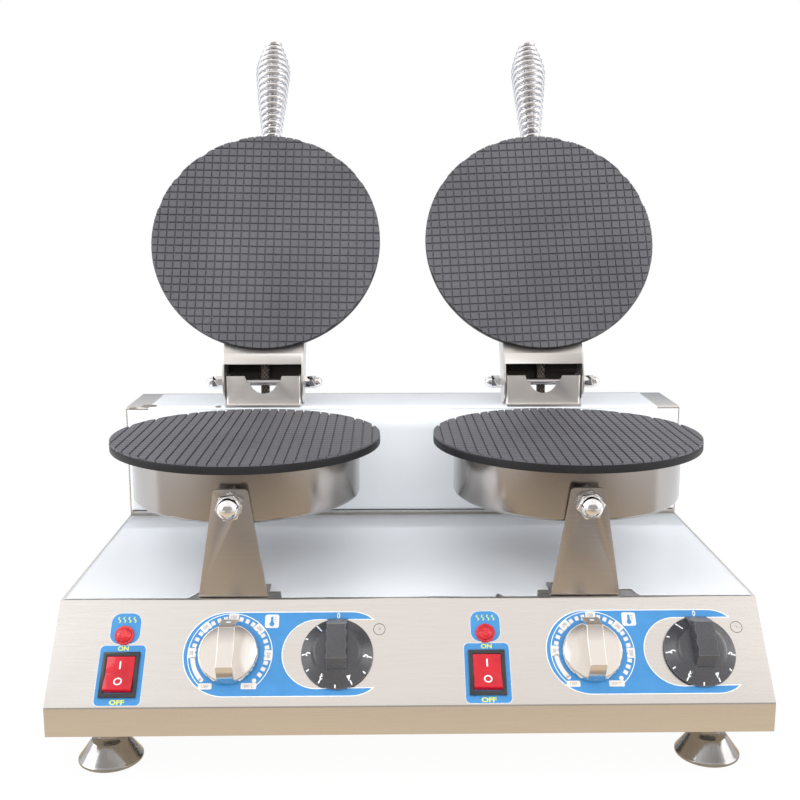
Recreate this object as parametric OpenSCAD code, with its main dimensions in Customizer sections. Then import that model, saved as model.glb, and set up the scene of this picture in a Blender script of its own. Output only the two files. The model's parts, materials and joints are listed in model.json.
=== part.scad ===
// Double waffle cone maker: two hinged round grid plates on a folded steel base.
// Units are millimetres. X runs to the user's right, Y to the back, Z up.
// The origin is on the table, in the middle of the whole machine with its lids open.

/* [Base] */
// Width of the folded base
base_w = 496; // [480:1:620]
// Depth of the base from the front lip to the back wall
base_d = 340; // [330:1:400]
// Height of the lip's lower edge over the table
under_h = 31.5; // [30:0.5:45]
// Height of the upright front lip
lip_h = 20.5; // [16:0.5:30]
// Horizontal depth of the sloping control panel
panel_run = 51; // [50:0.5:55]
// Height that the control panel climbs
panel_rise = 57.5; // [56:0.5:75]
// Thickness of the folded steel sheet
sheet_t = 1.2; // [0.8:0.1:1.5]
// Outer radius of the folds in the sheet
fold_r = 2.2; // [2:0.1:3]
// Width of the flange that is folded in round the open underside
flange_w = 12; // [8:1:14]

/* [Rear box] */
// Free space between the drums and the raised box at the back
rear_gap = 27; // [24:1:40]
// Height of the raised box over the base top
rear_box_h = 99; // [90:1:110]

/* [Heads] */
// Distance between the two heads' centres
head_pitch = 252; // [244:1:280]
// Distance from the front brackets back to the drums
spacer_l = 7; // [6:0.5:10]
// Free height between the base top and the lower drums
drum_lift = 52; // [48:1:60]
// Diameter of the drums that hold the heaters
drum_d = 177; // [172:1:178]
// Height of the drums
drum_h = 40; // [36:1:44]
// Wall thickness of the drums
drum_t = 1.5; // [1:0.1:2]
// Radius of the drums' closed edge
drum_r = 3; // [2.2:0.1:4]

/* [Waffle plates] */
// Overhang of the plates all round their drums
plate_over = 16.5; // [14:0.5:18]
// Thickness of the plates over their squares
plate_t = 7.5; // [6.5:0.1:9]
// Pitch of the squares
waffle_pitch = 7.6; // [7:0.1:12]
// Width of the grooves between the squares
groove_w = 1.1; // [0.8:0.1:1.8]
// Depth of the grooves
groove_depth = 1.5; // [1:0.1:2]
// Turn of the left upper plate's grid against the hinge axis, in degrees
left_grid_turn = -1; // [-5:0.5:5]
// Turn of the right upper plate's grid against the hinge axis, in degrees
right_grid_turn = 2.5; // [-5:0.5:5]
// Height of the ring under the plate that centres it in its drum
spigot_h = 5; // [3:0.5:7]
// Width of that ring
spigot_w = 3; // [2:0.5:4]
// Clearance between that ring and the drum
spigot_gap = 0.3; // [0.2:0.05:0.5]
// Radius of the plates' edge under the squares
plate_edge_r = 1.5; // [0.8:0.1:2]
// Gap between the two plates when the lid is closed
plate_gap = 0.3; // [0.2:0.05:1]

/* [Heating] */
// Diameter of the heating tube
heater_tube_d = 6.5; // [6:0.1:8]
// Radius of the heating tube's ring
heater_ring_r = 60; // [50:1:70]
// Thickness of the insulation pad in each drum
pad_t = 16; // [10:1:20]

/* [Hinge] */
// Distance from the raised box's front edge back to the hinge axis
hinge_setback = 16; // [15:0.5:20]
// Height of the hinge axis over the rear box
hinge_up = 20; // [19.5:0.5:22]
// Opening angle of the lids, in degrees
open_angle = 115; // [112:1:116]
// Diameter of the hinge rod
rod_d = 6; // [5:0.1:6.5]
// Radial running clearance of the lid on its rod
rod_gap = 0.05; // [0.03:0.01:0.08]
// Length of the rod's thread beyond each lid cheek
rod_end = 12; // [11:0.5:14]
// Outer width of the fixed hinge bracket
bracket_w = 66.8; // [62:0.2:67]
// Outer width of the lid's bracket
lid_bracket_w = 72; // [71.5:0.5:74]
// Thickness of the fixed hinge bracket
bracket_t = 2; // [1.5:0.1:2.2]
// Thickness of the lid's bracket
lid_bracket_t = 1.5; // [1.2:0.1:1.8]
// Distance from the hinge axis forward to the fixed bracket's front face
bracket_face = 9.5; // [9:0.1:10]
// Depth of the fixed bracket's cheeks
cheek_d = 21; // [19:0.5:24]
// Height of the fixed bracket over the hinge axis
bracket_over = 7; // [6:0.5:7.5]
// Half width of the cable notch at its mouth
notch_half = 17; // [15:0.5:19]
// Depth of the cable notch
notch_depth = 16; // [14:0.5:17]

/* [Front brackets] */
// Width of a front bracket at its foot
post_foot_w = 49.5; // [44:0.5:54]
// Width of a front bracket at its top
post_top_w = 24; // [22:0.5:30]
// Height of a front bracket
post_h = 80; // [78:0.5:84]
// Thickness of a front bracket
post_t = 2; // [1.5:0.1:3]
// Depth of the bracket's foot under the drum
post_foot_d = 24; // [20:1:30]
// Distance from the panel's upper edge back to the bracket
post_setback = 2; // [0:0.5:2.5]
// Height of the drum's stud over the drum's floor
stud_up = 17.5; // [15:0.5:20]
// Diameter of the drum's stud
stud_d = 10; // [8:0.5:10]
// Thickness of the thin nut in front of the bracket
thin_nut_t = 4; // [3:0.5:5]

/* [Handles] */
// Distance from the drum's side to the end of the coil grip
grip_l = 133; // [124:1:145]
// Wire diameter of the coil grip
grip_wire_d = 4; // [3.4:0.1:4.4]
// Rise of the coil in one turn
grip_pitch = 6.3; // [5.6:0.1:7]
// Outer radius of the grip at its neck
grip_neck_r = 9; // [8.5:0.1:11]
// Outer radius of the grip at its thickest point
grip_belly_r = 16.8; // [14:0.1:19]
// Outer radius of the grip at its end
grip_end_r = 7.5; // [7:0.1:9]
// Distance from the drum's side to the grip's thickest point
grip_belly_at = 98; // [85:1:104]
// Diameter of the stem inside the coil
stem_d = 8; // [6:0.5:8]

/* [Feet] */
// Diameter of a foot
foot_d = 45; // [38:1:52]
// Height of a foot with its collar
foot_h = 20.5; // [18:0.5:22]
// Distance from the base's edges to the feet's centres, front and back
foot_inset_y = 30; // [27:1:40]
// Distance from the base's edges to the feet's centres, left and right
foot_inset_x = 36; // [30:1:45]
// Diameter of the feet's studs
foot_stud_d = 10; // [8:0.5:10]

/* [Controls] */
// Distance of the knobs' centres up the panel from the lip
knob_up = 36; // [34:0.5:38]
// Distance of the timer from the thermostat
timer_side = 75; // [72:0.5:80]
// Distance of the switch and lamp from the thermostat
switch_side = 73.5; // [70:0.5:80]
// Distance of the switch's centre up the panel
switch_up = 22.5; // [20:0.5:24]
// Distance of the lamp's centre up the panel
lamp_up = 50.5; // [48:0.5:54]
// Diameter of the thermostat knob's disc
thermo_knob_d = 42; // [36:0.5:46]
// Height of the thermostat knob's grip over the panel
thermo_knob_h = 21; // [17:0.5:26]
// Diameter of the timer knob's skirt
timer_knob_d = 50; // [44:0.5:54]
// Diameter of the timer knob's hub
timer_hub_d = 31; // [26:0.5:36]
// Height of the timer knob over the panel
timer_knob_h = 22; // [18:0.5:26]
// Diameter of the control spindles
spindle_d = 6; // [5:0.5:6]
// Width of a switch bezel
bezel_w = 25.2; // [24:0.1:28]
// Length of a switch bezel
bezel_l = 31.4; // [30:0.1:34]
// Tilt of the rocker to each side of level, in degrees
rocker_tilt = 8; // [5:1:10]
// Diameter of a lamp's bezel
lamp_d = 13.4; // [12:0.1:16]

/* [Wiring] */
// Diameter of the flexible heater conduit
conduit_d = 8.5; // [7:0.5:9]
// Distance of the conduit behind the hinge axis
conduit_back = 8.2; // [8:0.1:9]
// Diameter of the mains cable gland's bore
gland_bore_d = 8; // [6:0.5:9]
// Height of the mains cable gland over the base's lower edge
gland_up = 30; // [25:1:40]
// Length of the terminal block
block_l = 72; // [50:1:90]
// Depth of the terminal block
block_d = 24; // [18:1:30]
// Height of the terminal block
block_h = 18; // [14:1:24]
// Distance from the terminal block back to the rear wall
block_setback = 20.5; // [14:0.5:40]

/* [Hidden] */

// Sides of the machine
LEFT = -1;
RIGHT = 1;

// Colours
steel = "silver";
chrome = "gainsboro";
zinc = "lightsteelblue";
plate_black = "dimgray";
plastic_black = "black";

// Smoothness of round parts
ROUND_BIG = 180;
ROUND_MID = 64;
ROUND_SMALL = 32;

// Small clearance between pieces of one body, and the overshoot of cutting tools
seat_gap = 0.05;
over = 1;

// Heights
base_z = under_h;
lip_top_z = base_z + lip_h;
base_top_z = lip_top_z + panel_rise;
box_top_z = base_top_z + rear_box_h;
drum_z = base_top_z + drum_lift;
plate_top_z = drum_z + drum_h + plate_t;
hinge_z = box_top_z + hinge_up;
bottom_seat_z = base_z + sheet_t;

// Depths, from the front to the back
post_y = panel_run + post_setback;
drum_front_y = post_y + post_t + spacer_l;
head_y = drum_front_y + drum_d / 2;
box_front_y = head_y + drum_d / 2 + rear_gap;
rear_box_d = base_d - box_front_y;
hinge_y = box_front_y + hinge_setback;
hinge_back = hinge_y - head_y;
plate_d = drum_d + 2 * plate_over;

// The sloping panel
panel_angle = atan2(panel_rise, panel_run);
panel_l = norm([panel_run, panel_rise]);

// The closed lid's faces, measured from the hinge axis
lid_face = plate_top_z + plate_gap - hinge_z;
lid_back = lid_face + plate_t;
lid_cover = lid_back + drum_h;
drum_near = hinge_back - drum_d / 2;
drum_far = hinge_back + drum_d / 2;

// The lid bracket's strip and webs
strip_near = 12.5;
strip_far = 22.3;
strip_level = -15.6;
web_level = lid_back + 0.4;
back_web_level = 14;

// Hexagon sizes
m10_across = 17;
m6_across = 10;
m6_nut_t = 5;
foot_nut_t = 6;
spacer_nut_t = spacer_l - 2 * seat_gap;

// Level of the bore's floor in the feet
stud_seat = 7;

// Screws of the case
screw_d = 4;
screw_head_d = 7.6;
screw_head_h = 2.4;
screw_l = 8;

// Turns a point list into the same list with its corners rounded
function unit(v) = v / norm(v);
function turn_of(a, b) = let (d = b - a) d > 180 ? d - 360 : d < -180 ? d + 360 : d;
function corner_arc(before, at, after, r, steps) =
  let (u = unit(before - at), v = unit(after - at), half = acos(u * v) / 2)
  let (mid = at + unit(u + v) * r / sin(half), start = at + u * r / tan(half), end = at + v * r / tan(half))
  let (a = atan2(start.y - mid.y, start.x - mid.x), b = atan2(end.y - mid.y, end.x - mid.x))
  [for (i = [0 : steps]) mid + r * [cos(a + turn_of(a, b) * i / steps), sin(a + turn_of(a, b) * i / steps)]];
function rounded(pts, radii, steps = 5) =
  let (n = len(pts))
  [for (i = [0 : n - 1])
    each (radii[i] > 0
      ? corner_arc(pts[(i + n - 1) % n], pts[i], pts[(i + 1) % n], radii[i], steps)
      : [pts[i]])];

// Moves the sides of a counter-clockwise convex outline inwards by t
function left_normal(a, b) = let (d = unit(b - a)) [-d.y, d.x];
function inset(pts, t) =
  let (n = len(pts))
  [for (i = [0 : n - 1])
    let (p = left_normal(pts[(i + n - 1) % n], pts[i]), q = left_normal(pts[i], pts[(i + 1) % n]))
    pts[i] + t * (p + q) / (1 + p * q)];

// Side outline of the base, as [distance from the lip, height]
base_outline = [[0, base_z], [base_d, base_z], [base_d, base_top_z], [panel_run, base_top_z], [0, lip_top_z]];
base_radii = [0, 0, fold_r, fold_r, fold_r];
base_void = [[0, bottom_seat_z], [base_d, bottom_seat_z], [base_d, base_top_z], [panel_run, base_top_z], [0, lip_top_z]];
base_inner_radii = [0, 0, fold_r - sheet_t, fold_r - sheet_t, fold_r - sheet_t];

// Coil grip: outer radius at a distance along the stem from the drum's side
function grip_outer(at) =
  at < grip_neck_at ? grip_neck_r
  : at < grip_belly_at
    ? let (s = pow((at - grip_neck_at) / (grip_belly_at - grip_neck_at), 1.35))
      grip_neck_r + (grip_belly_r - grip_neck_r) * (1 - cos(180 * s)) / 2
    : let (s = (at - grip_belly_at) / (grip_l - grip_wire_d / 2 - grip_belly_at))
      grip_end_r + (grip_belly_r - grip_end_r) * cos(90 * min(s, 1));
grip_start = 9;
grip_neck_at = 26;
grip_turns = (grip_l - grip_wire_d - grip_start) / grip_pitch;
grip_steps = 11;
grip_sides = 5;
grip_level = lid_back + drum_h / 2 - 2;
grip_path = [for (i = [0 : floor(grip_turns * grip_steps)])
  let (turn = i / grip_steps, at = grip_start + grip_wire_d / 2 + turn * grip_pitch)
  let (r = grip_outer(at) - grip_wire_d / 2)
  [r * cos(360 * turn), at, r * sin(360 * turn)]];

// Side outline of the thermostat knob's bar, as [distance up the panel from its centre, height]
knob_gap = 1;
thermo_disc_h = 6;
thermo_r = thermo_knob_d / 2;
thermo_bar = rounded(
  [[-thermo_r + 0.6, knob_gap], [thermo_r + 2, knob_gap + 3], [thermo_r + 2.4, knob_gap + thermo_disc_h],
   [thermo_r * 0.62, thermo_knob_h], [-thermo_r * 0.76, thermo_knob_h], [-thermo_r + 0.6, knob_gap + thermo_disc_h]],
  [0.5, 0.8, 0.8, 1.6, 2.2, 1], 4);

// Side outline of the timer knob's grip, the same way
timer_tail = -timer_hub_d / 2 - 0.5;
timer_reach = timer_knob_d / 2 - 1;
timer_bar = rounded(
  [[timer_tail, knob_gap], [timer_reach, knob_gap], [timer_reach, knob_gap + 4.5],
   [timer_reach * 0.6, timer_knob_h], [timer_tail + 2, timer_knob_h]],
  [0, 0, 1.5, 3, 2], 4);

// The furthest point forward is on a knob or on the lip
function panel_point_y(p) = (knob_up + p.x) * cos(panel_angle) - p.y * sin(panel_angle);
front_reach = min([0, for (p = concat(thermo_bar, timer_bar)) panel_point_y(p)]);

// The furthest point back is on the open lid's coil grip
function lid_point_y(p) = hinge_y + (drum_far + p.y) * -cos(open_angle) + (grip_level + p.z) * sin(open_angle);
rear_reach = max([for (p = grip_path) lid_point_y(p)]) + grip_wire_d / 2;
centre_y = (front_reach + rear_reach) / 2;

// Places ------------------------------------------------------------------------------------

// Frame of the base: Y from the front lip
module in_base() {
  translate([0, -centre_y, 0]) children();
}

// Frame of one head: at the lower plate's centre, on the table
module at_head(side) {
  in_base() translate([side * head_pitch / 2, head_y, 0]) children();
}

// Frame of the hinge axis of one head
module at_hinge(side) {
  in_base() translate([side * head_pitch / 2, hinge_y, hinge_z]) children();
}

// Frame of one lid: -Y towards the handle and +Z out of the lid's cover, as when closed
module at_lid(side) {
  at_hinge(side) rotate([-open_angle, 0, 0]) children();
}

// Frame of one lid's plate: at the plate's centre, +Z out of the grid
module at_lid_plate(side) {
  at_lid(side) translate([0, -hinge_back, lid_face]) rotate([180, 0, 0]) children();
}

// Frame on the control panel: +Y up the slope, +Z out of the panel
module at_panel(x, up) {
  in_base() translate([0, 0, lip_top_z]) rotate([panel_angle, 0, 0]) translate([x, up, 0]) children();
}

// Runs a side outline, given as [depth, height], along X
module along_x(w) {
  translate([-w / 2, 0, 0]) rotate([90, 0, 90]) linear_extrude(w) children();
}

// Common small parts ------------------------------------------------------------------------

module hexagon(across, h, bore_d) {
  difference() {
    cylinder(h = h, d = across / cos(30), $fn = 6);
    translate([0, 0, -over]) cylinder(h = h + 2 * over, d = bore_d, $fn = ROUND_SMALL);
  }
}

module acorn_nut(across, hex_h, total_h, bore_d) {
  dome_r = across * 0.47;
  difference() {
    union() {
      cylinder(h = hex_h, d = across / cos(30), $fn = 6);
      translate([0, 0, hex_h]) cylinder(h = total_h - hex_h - dome_r, r = dome_r, $fn = ROUND_SMALL);
      translate([0, 0, total_h - dome_r]) sphere(r = dome_r, $fn = ROUND_SMALL);
    }
    translate([0, 0, -over]) cylinder(h = total_h - dome_r / 2 + over, d = bore_d, $fn = ROUND_SMALL);
  }
}

// Pan-head screw, head above z = 0
module case_screw() {
  rotate_extrude($fn = ROUND_SMALL)
    polygon(concat(
      [[0, -screw_l], [screw_d / 2, -screw_l], [screw_d / 2, 0]],
      rounded([[screw_head_d / 2, 0], [screw_head_d / 2, screw_head_h], [0, screw_head_h]], [0, 1.6, 0], 4)));
}

module screw_hole() {
  translate([0, 0, -screw_l]) cylinder(h = 2 * screw_l, d = screw_d + 2 * seat_gap, $fn = ROUND_SMALL);
}

// Base --------------------------------------------------------------------------------------

module foot_places() {
  for (x = [-1, 1], y = [foot_inset_y, base_d - foot_inset_y])
    translate([x * (base_w / 2 - foot_inset_x), y, 0]) children();
}

// Screws that hold the bottom plate to the folded flange
module bottom_screw_places() {
  for (x = [-1, 1], y = [0.35, 0.65])
    translate([x * (base_w / 2 - sheet_t - flange_w / 2), base_d * y, 0]) children();
}

// Screws that hold the rear panel to the rear box's flanges
module rear_screw_places() {
  for (x = [-1, 1], z = [0.22, 0.78])
    translate([x * (base_w / 2 - sheet_t - flange_w / 2), base_d, base_top_z + rear_box_h * z]) children();
}

// Screws in the front brackets' feet
module post_screw_places() {
  for (x = [-1, 1])
    translate([x * post_foot_w * 0.3, post_y + post_foot_d * 0.6, base_top_z]) children();
}

module panel_cuts(side) {
  at_panel(side * head_pitch / 2, knob_up)
    translate([0, 0, -2 * sheet_t]) cylinder(h = 4 * sheet_t, d = bush_d + 0.4, $fn = ROUND_MID);
  at_panel(side * head_pitch / 2 + timer_side, knob_up)
    translate([0, 0, -2 * sheet_t]) cylinder(h = 4 * sheet_t, d = bush_d + 0.4, $fn = ROUND_MID);
  at_panel(side * head_pitch / 2 - switch_side, switch_up)
    cube([switch_body_w + 0.4, switch_body_l + 0.4, 4 * sheet_t], center = true);
  at_panel(side * head_pitch / 2 - switch_side, lamp_up)
    translate([0, 0, -2 * sheet_t]) cylinder(h = 4 * sheet_t, d = lamp_body_d + 0.4, $fn = ROUND_MID);
}

module base_shell() {
  inner = inset(base_void, sheet_t);
  color(steel)
  difference() {
    in_base() difference() {
      along_x(base_w) polygon(rounded(base_outline, base_radii));
      along_x(base_w - 2 * sheet_t) polygon(rounded(inner, base_inner_radii));
      // Recess for the bottom plate, and the opening inside the folded flange
      translate([-base_w / 2 + sheet_t, sheet_t, base_z - over])
        cube([base_w - 2 * sheet_t, base_d - 2 * sheet_t, sheet_t + over]);
      translate([-base_w / 2 + sheet_t + flange_w, sheet_t + flange_w, base_z])
        cube([base_w - 2 * (sheet_t + flange_w), base_d - 2 * (sheet_t + flange_w), 3 * sheet_t]);
      // Wiring openings under the rear box
      for (side = [LEFT, RIGHT])
        translate([side * head_pitch / 2 - wire_slot_w / 2, box_front_y + rear_box_d * 0.35, base_top_z - 2 * sheet_t])
          cube([wire_slot_w, rear_box_d * 0.35, 3 * sheet_t]);
      // Hole for the cable gland
      translate([gland_x, base_d - 2 * sheet_t, base_z + gland_up])
        rotate([-90, 0, 0]) cylinder(h = 3 * sheet_t, d = gland_thread_d + 0.3, $fn = ROUND_MID);
      bottom_screw_places() translate([0, 0, base_z]) mirror([0, 0, 1]) screw_hole();
      for (side = [LEFT, RIGHT])
        translate([side * head_pitch / 2, 0, 0]) post_screw_places() screw_hole();
    }
    for (side = [LEFT, RIGHT]) panel_cuts(side);
  }
}

wire_slot_w = 50;
gland_x = base_w / 2 - 70;
gland_thread_d = gland_bore_d + 8;
bush_d = 10;
switch_body_w = bezel_w - 2.4;
switch_body_l = bezel_l - 3.4;
lamp_body_d = lamp_d - 2.6;

// Flat cover of the underside, with slots that let air in
module bottom_plate() {
  slot_w = 4;
  slot_l = 60;
  slots = 9;
  color(steel)
  in_base() difference() {
    translate([-base_w / 2 + sheet_t + seat_gap, sheet_t + seat_gap, base_z])
      cube([base_w - 2 * (sheet_t + seat_gap), base_d - 2 * (sheet_t + seat_gap), sheet_t - seat_gap]);
    foot_places() translate([0, 0, base_z - over])
      cylinder(h = sheet_t + 2 * over, d = foot_stud_d + 0.4, $fn = ROUND_SMALL);
    bottom_screw_places() translate([0, 0, base_z]) screw_hole();
    for (side = [LEFT, RIGHT], i = [0 : slots - 1])
      translate([side * head_pitch / 2 + (i - (slots - 1) / 2) * 3 * slot_w - slot_w / 2,
                 base_d / 2 - slot_l / 2, base_z - over])
        cube([slot_w, slot_l, sheet_t + 2 * over]);
  }
}

// Raised box along the back: front, top and ends in one folded sheet
module rear_box() {
  box = [[box_front_y, base_top_z], [base_d, base_top_z], [base_d, box_top_z], [box_front_y, box_top_z]];
  color(steel)
  in_base() difference() {
    along_x(base_w) polygon(rounded(box, [0, 0, fold_r, fold_r]));
    difference() {
      translate([-base_w / 2 + sheet_t, box_front_y + sheet_t, base_top_z - over])
        cube([base_w - 2 * sheet_t, rear_box_d - sheet_t + over, rear_box_h - sheet_t + over]);
      // Flanges behind the rear panel, and one on the base top
      for (x = [-base_w / 2, base_w / 2 - sheet_t - flange_w])
        translate([x, base_d - 2 * sheet_t, base_top_z - over])
          cube([flange_w + sheet_t, sheet_t, rear_box_h]);
      translate([-base_w / 2, box_front_y, base_top_z - over])
        cube([base_w, flange_w, sheet_t + over]);
    }
    // Holes for the heater conduits and for the rear supports' wiring
    for (side = [LEFT, RIGHT])
      translate([side * head_pitch / 2, 0, 0]) {
        translate([0, hinge_y + conduit_back, box_top_z - 2 * sheet_t])
          cylinder(h = 3 * sheet_t, d = grommet_neck_d, $fn = ROUND_MID);
        translate([0, box_front_y - over, support_z])
          rotate([-90, 0, 0]) cylinder(h = sheet_t + 2 * over, d = wire_hole_d, $fn = ROUND_MID);
      }
    rear_screw_places() rotate([-90, 0, 0]) screw_hole();
  }
}

grommet_neck_d = conduit_d + 3.5;
wire_hole_d = 14;
support_z = drum_z + stud_up;

// Cover of the rear box's open back, with rows of vent slots
module rear_panel() {
  slot_w = 3.5;
  slot_h = rear_box_h * 0.35;
  slots = 13;
  color(steel)
  in_base() difference() {
    translate([-base_w / 2 + sheet_t + seat_gap, base_d - sheet_t + seat_gap, base_top_z])
      cube([base_w - 2 * (sheet_t + seat_gap), sheet_t - seat_gap, rear_box_h - sheet_t - seat_gap]);
    for (side = [LEFT, RIGHT], i = [0 : slots - 1])
      translate([side * head_pitch / 2 + (i - (slots - 1) / 2) * 3 * slot_w, base_d - 2 * sheet_t,
                 base_top_z + rear_box_h * 0.45])
        rotate([-90, 0, 0]) vent_slot(slot_w, slot_h, 3 * sheet_t);
    rear_screw_places() rotate([-90, 0, 0]) screw_hole();
  }
}

// Slot with round ends, upright along Y before it is turned
module vent_slot(w, l, h) {
  for (y = [-1, 1]) translate([0, y * (l - w) / 2, 0]) cylinder(h = h, d = w, $fn = ROUND_SMALL);
  translate([-w / 2, -(l - w) / 2, 0]) cube([w, l - w, h]);
}

// Threaded gland for the mains cable, with its lock nut inside the wall
module cable_gland() {
  across = gland_thread_d + 6;
  nut_t = 5;
  body_l = 9;
  cone_l = 5;
  thread_l = 9;
  color(plastic_black)
  in_base() translate([gland_x, base_d, base_z + gland_up]) rotate([-90, 0, 0]) difference() {
    union() {
      cylinder(h = nut_t, d = across / cos(30), $fn = 6);
      translate([0, 0, nut_t]) cylinder(h = body_l, d = gland_thread_d + 3, $fn = ROUND_MID);
      translate([0, 0, nut_t + body_l])
        cylinder(h = cone_l, d1 = gland_thread_d + 3, d2 = gland_bore_d + 4, $fn = ROUND_MID);
      translate([0, 0, -sheet_t - thread_l]) cylinder(h = thread_l + sheet_t, d = gland_thread_d, $fn = ROUND_MID);
      translate([0, 0, -sheet_t - nut_t]) cylinder(h = nut_t - seat_gap, d = across / cos(30), $fn = 6);
    }
    translate([0, 0, -sheet_t - thread_l - over])
      cylinder(h = sheet_t + thread_l + nut_t + body_l + cone_l + 2 * over, d = gland_bore_d, $fn = ROUND_MID);
  }
}

// Terminal block on the bottom plate, under the rear box
module terminal_block() {
  block = [block_l, block_d, block_h];
  poles = 6;
  color("ivory")
  in_base() translate([-block.x / 2, base_d - block_setback - block.y, bottom_seat_z]) difference() {
    cube(block);
    for (i = [0 : poles - 1])
      translate([(i + 0.5) * block.x / poles, 0, 0]) {
        translate([0, block.y / 2, block.z - 6]) cylinder(h = 7, d = 5.5, $fn = ROUND_SMALL);
        translate([0, -over, block.z * 0.35]) rotate([-90, 0, 0])
          cylinder(h = block.y + 2 * over, d = 4.5, $fn = ROUND_SMALL);
      }
  }
}

// Front brackets ----------------------------------------------------------------------------

// Tapered plate with a foot folded back under the drum
module front_bracket(side) {
  face = [[-post_foot_w / 2, 0], [post_foot_w / 2, 0], [post_top_w / 2, post_h], [-post_top_w / 2, post_h]];
  foot = [[0, 0], [post_foot_d, 0], [post_foot_d, post_t], [post_t, post_t], [post_t, post_h], [0, post_h]];
  color(steel)
  difference() {
    at_head(side) translate([0, post_y - head_y, base_top_z]) intersection() {
      along_x(post_foot_w) polygon(rounded(foot, [post_t + 0.8, 0, 0, 0.8, 0, 0]));
      union() {
        translate([0, post_t + 0.8, 0]) rotate([90, 0, 0]) linear_extrude(post_t + 0.8)
          polygon(rounded(face, [0, 0, 3, 3]));
        translate([-post_foot_w / 2, post_t, 0]) cube([post_foot_w, post_foot_d, 2 * post_t]);
      }
    }
    at_head(side) translate([0, -head_y, 0]) {
      translate([0, post_y - over, drum_z + stud_up])
        rotate([-90, 0, 0]) cylinder(h = post_t + 2 * over, d = stud_d + 2 * seat_gap, $fn = ROUND_SMALL);
      translate([0, 0, post_t]) post_screw_places() screw_hole();
    }
  }
}

module front_bracket_left() { front_bracket(LEFT); }
module front_bracket_right() { front_bracket(RIGHT); }

// Frame of a drum's stud: +Z forwards, z = 0 on the bracket's front face
module at_stud(side) {
  at_head(side) translate([0, post_y - head_y, drum_z + stud_up]) rotate([90, 0, 0]) children();
}

stud_in = drum_front_y + drum_t - post_y;
acorn_hex_h = 8;
acorn_l = 17;

module drum_studs() {
  head_t = 3;
  color(zinc)
  for (side = [LEFT, RIGHT])
    at_stud(side) {
      translate([0, 0, -stud_in - 0.5]) cylinder(h = stud_in + 0.5 + thin_nut_t + acorn_hex_h, d = stud_d, $fn = ROUND_SMALL);
      translate([0, 0, -stud_in - 0.5 - head_t]) cylinder(h = head_t, d = stud_d * 1.6, $fn = ROUND_SMALL);
    }
}

module front_acorn_nuts() {
  color(chrome)
  for (side = [LEFT, RIGHT])
    at_stud(side) translate([0, 0, thin_nut_t])
      rotate([0, 0, 8]) acorn_nut(m10_across, acorn_hex_h, acorn_l, stud_d + 2 * seat_gap);
}

// Lock nuts of the feet, spacer nuts behind the front brackets and thin nuts in front of them
module hex_nuts() {
  color(zinc) {
    for (side = [LEFT, RIGHT])
      at_stud(side) {
        translate([0, 0, -post_t - seat_gap - spacer_nut_t])
          rotate([0, 0, 20]) hexagon(m10_across, spacer_nut_t, stud_d + 2 * seat_gap);
        rotate([0, 0, 24]) hexagon(m10_across, thin_nut_t, stud_d + 2 * seat_gap);
      }
    in_base() foot_places()
      for (z = [bottom_seat_z, base_z - foot_nut_t])
        translate([0, 0, z]) hexagon(m10_across, foot_nut_t, foot_stud_d + 2 * seat_gap);
  }
}

module case_screws() {
  color(zinc)
  in_base() {
    for (side = [LEFT, RIGHT])
      translate([side * head_pitch / 2, 0, post_t]) post_screw_places() case_screw();
    rear_screw_places() rotate([-90, 0, 0]) case_screw();
    bottom_screw_places() translate([0, 0, base_z]) mirror([0, 0, 1]) case_screw();
  }
}

// Heads: drums, plates and heaters ----------------------------------------------------------

// Cup with its closed, rounded end at z = 0
module drum_cup() {
  wall = drum_r - drum_t;
  outer = [[0, 0], [drum_d / 2, 0], [drum_d / 2, drum_h], [0, drum_h]];
  inner = [[0, drum_t], [drum_d / 2 - drum_t, drum_t], [drum_d / 2 - drum_t, drum_h + over], [0, drum_h + over]];
  rotate_extrude($fn = ROUND_BIG) difference() {
    polygon(rounded(outer, [0, drum_r, 0, 0]));
    polygon(rounded(inner, [0, wall, 0, 0]));
  }
}

// Radial hole through the drum's wall
module drum_hole(up, d, turn) {
  rotate([0, 0, turn]) translate([0, -drum_d / 2 - over, up])
    rotate([-90, 0, 0]) cylinder(h = drum_t + 3 * over, d = d, $fn = ROUND_SMALL);
}

module lower_drum(side) {
  color(steel)
  at_head(side) translate([0, 0, drum_z]) difference() {
    drum_cup();
    drum_hole(stud_up, stud_d + 2 * seat_gap, 0);
    drum_hole(stud_up, wire_hole_d, 180);
  }
}

module lower_drum_left() { lower_drum(LEFT); }
module lower_drum_right() { lower_drum(RIGHT); }

// Parallel grooves across the plate, in the plane
module groove_lines() {
  count = floor(plate_d / 2 / waffle_pitch);
  for (i = [-count : count])
    translate([i * waffle_pitch, 0]) square([groove_w, plate_d + 2 * over], center = true);
}

// Cast plate: a disc with a spigot ring below and squares above, grid face at z = 0
module waffle_plate() {
  ring_r = drum_d / 2 - drum_t - spigot_gap;
  rotate_extrude($fn = ROUND_BIG)
    polygon(rounded(
      [[0, -plate_t], [plate_d / 2, -plate_t], [plate_d / 2, -groove_depth], [0, -groove_depth]],
      [0, plate_edge_r, 0, 0]));
  rotate_extrude($fn = ROUND_BIG)
    translate([ring_r - spigot_w, -plate_t - spigot_h]) square([spigot_w, spigot_h + 0.5]);
  translate([0, 0, -groove_depth]) linear_extrude(groove_depth) difference() {
    circle(d = plate_d, $fn = ROUND_BIG);
    groove_lines();
    rotate(90) groove_lines();
  }
}

module lower_plate(side) {
  color(plate_black) at_head(side) translate([0, 0, plate_top_z]) waffle_plate();
}

module upper_plate(side, turn) {
  color(plate_black) at_lid_plate(side) rotate([0, 0, turn]) waffle_plate();
}

module lower_plate_left() { lower_plate(LEFT); }
module lower_plate_right() { lower_plate(RIGHT); }
module upper_plate_left() { upper_plate(LEFT, left_grid_turn); }
module upper_plate_right() { upper_plate(RIGHT, right_grid_turn); }

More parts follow.
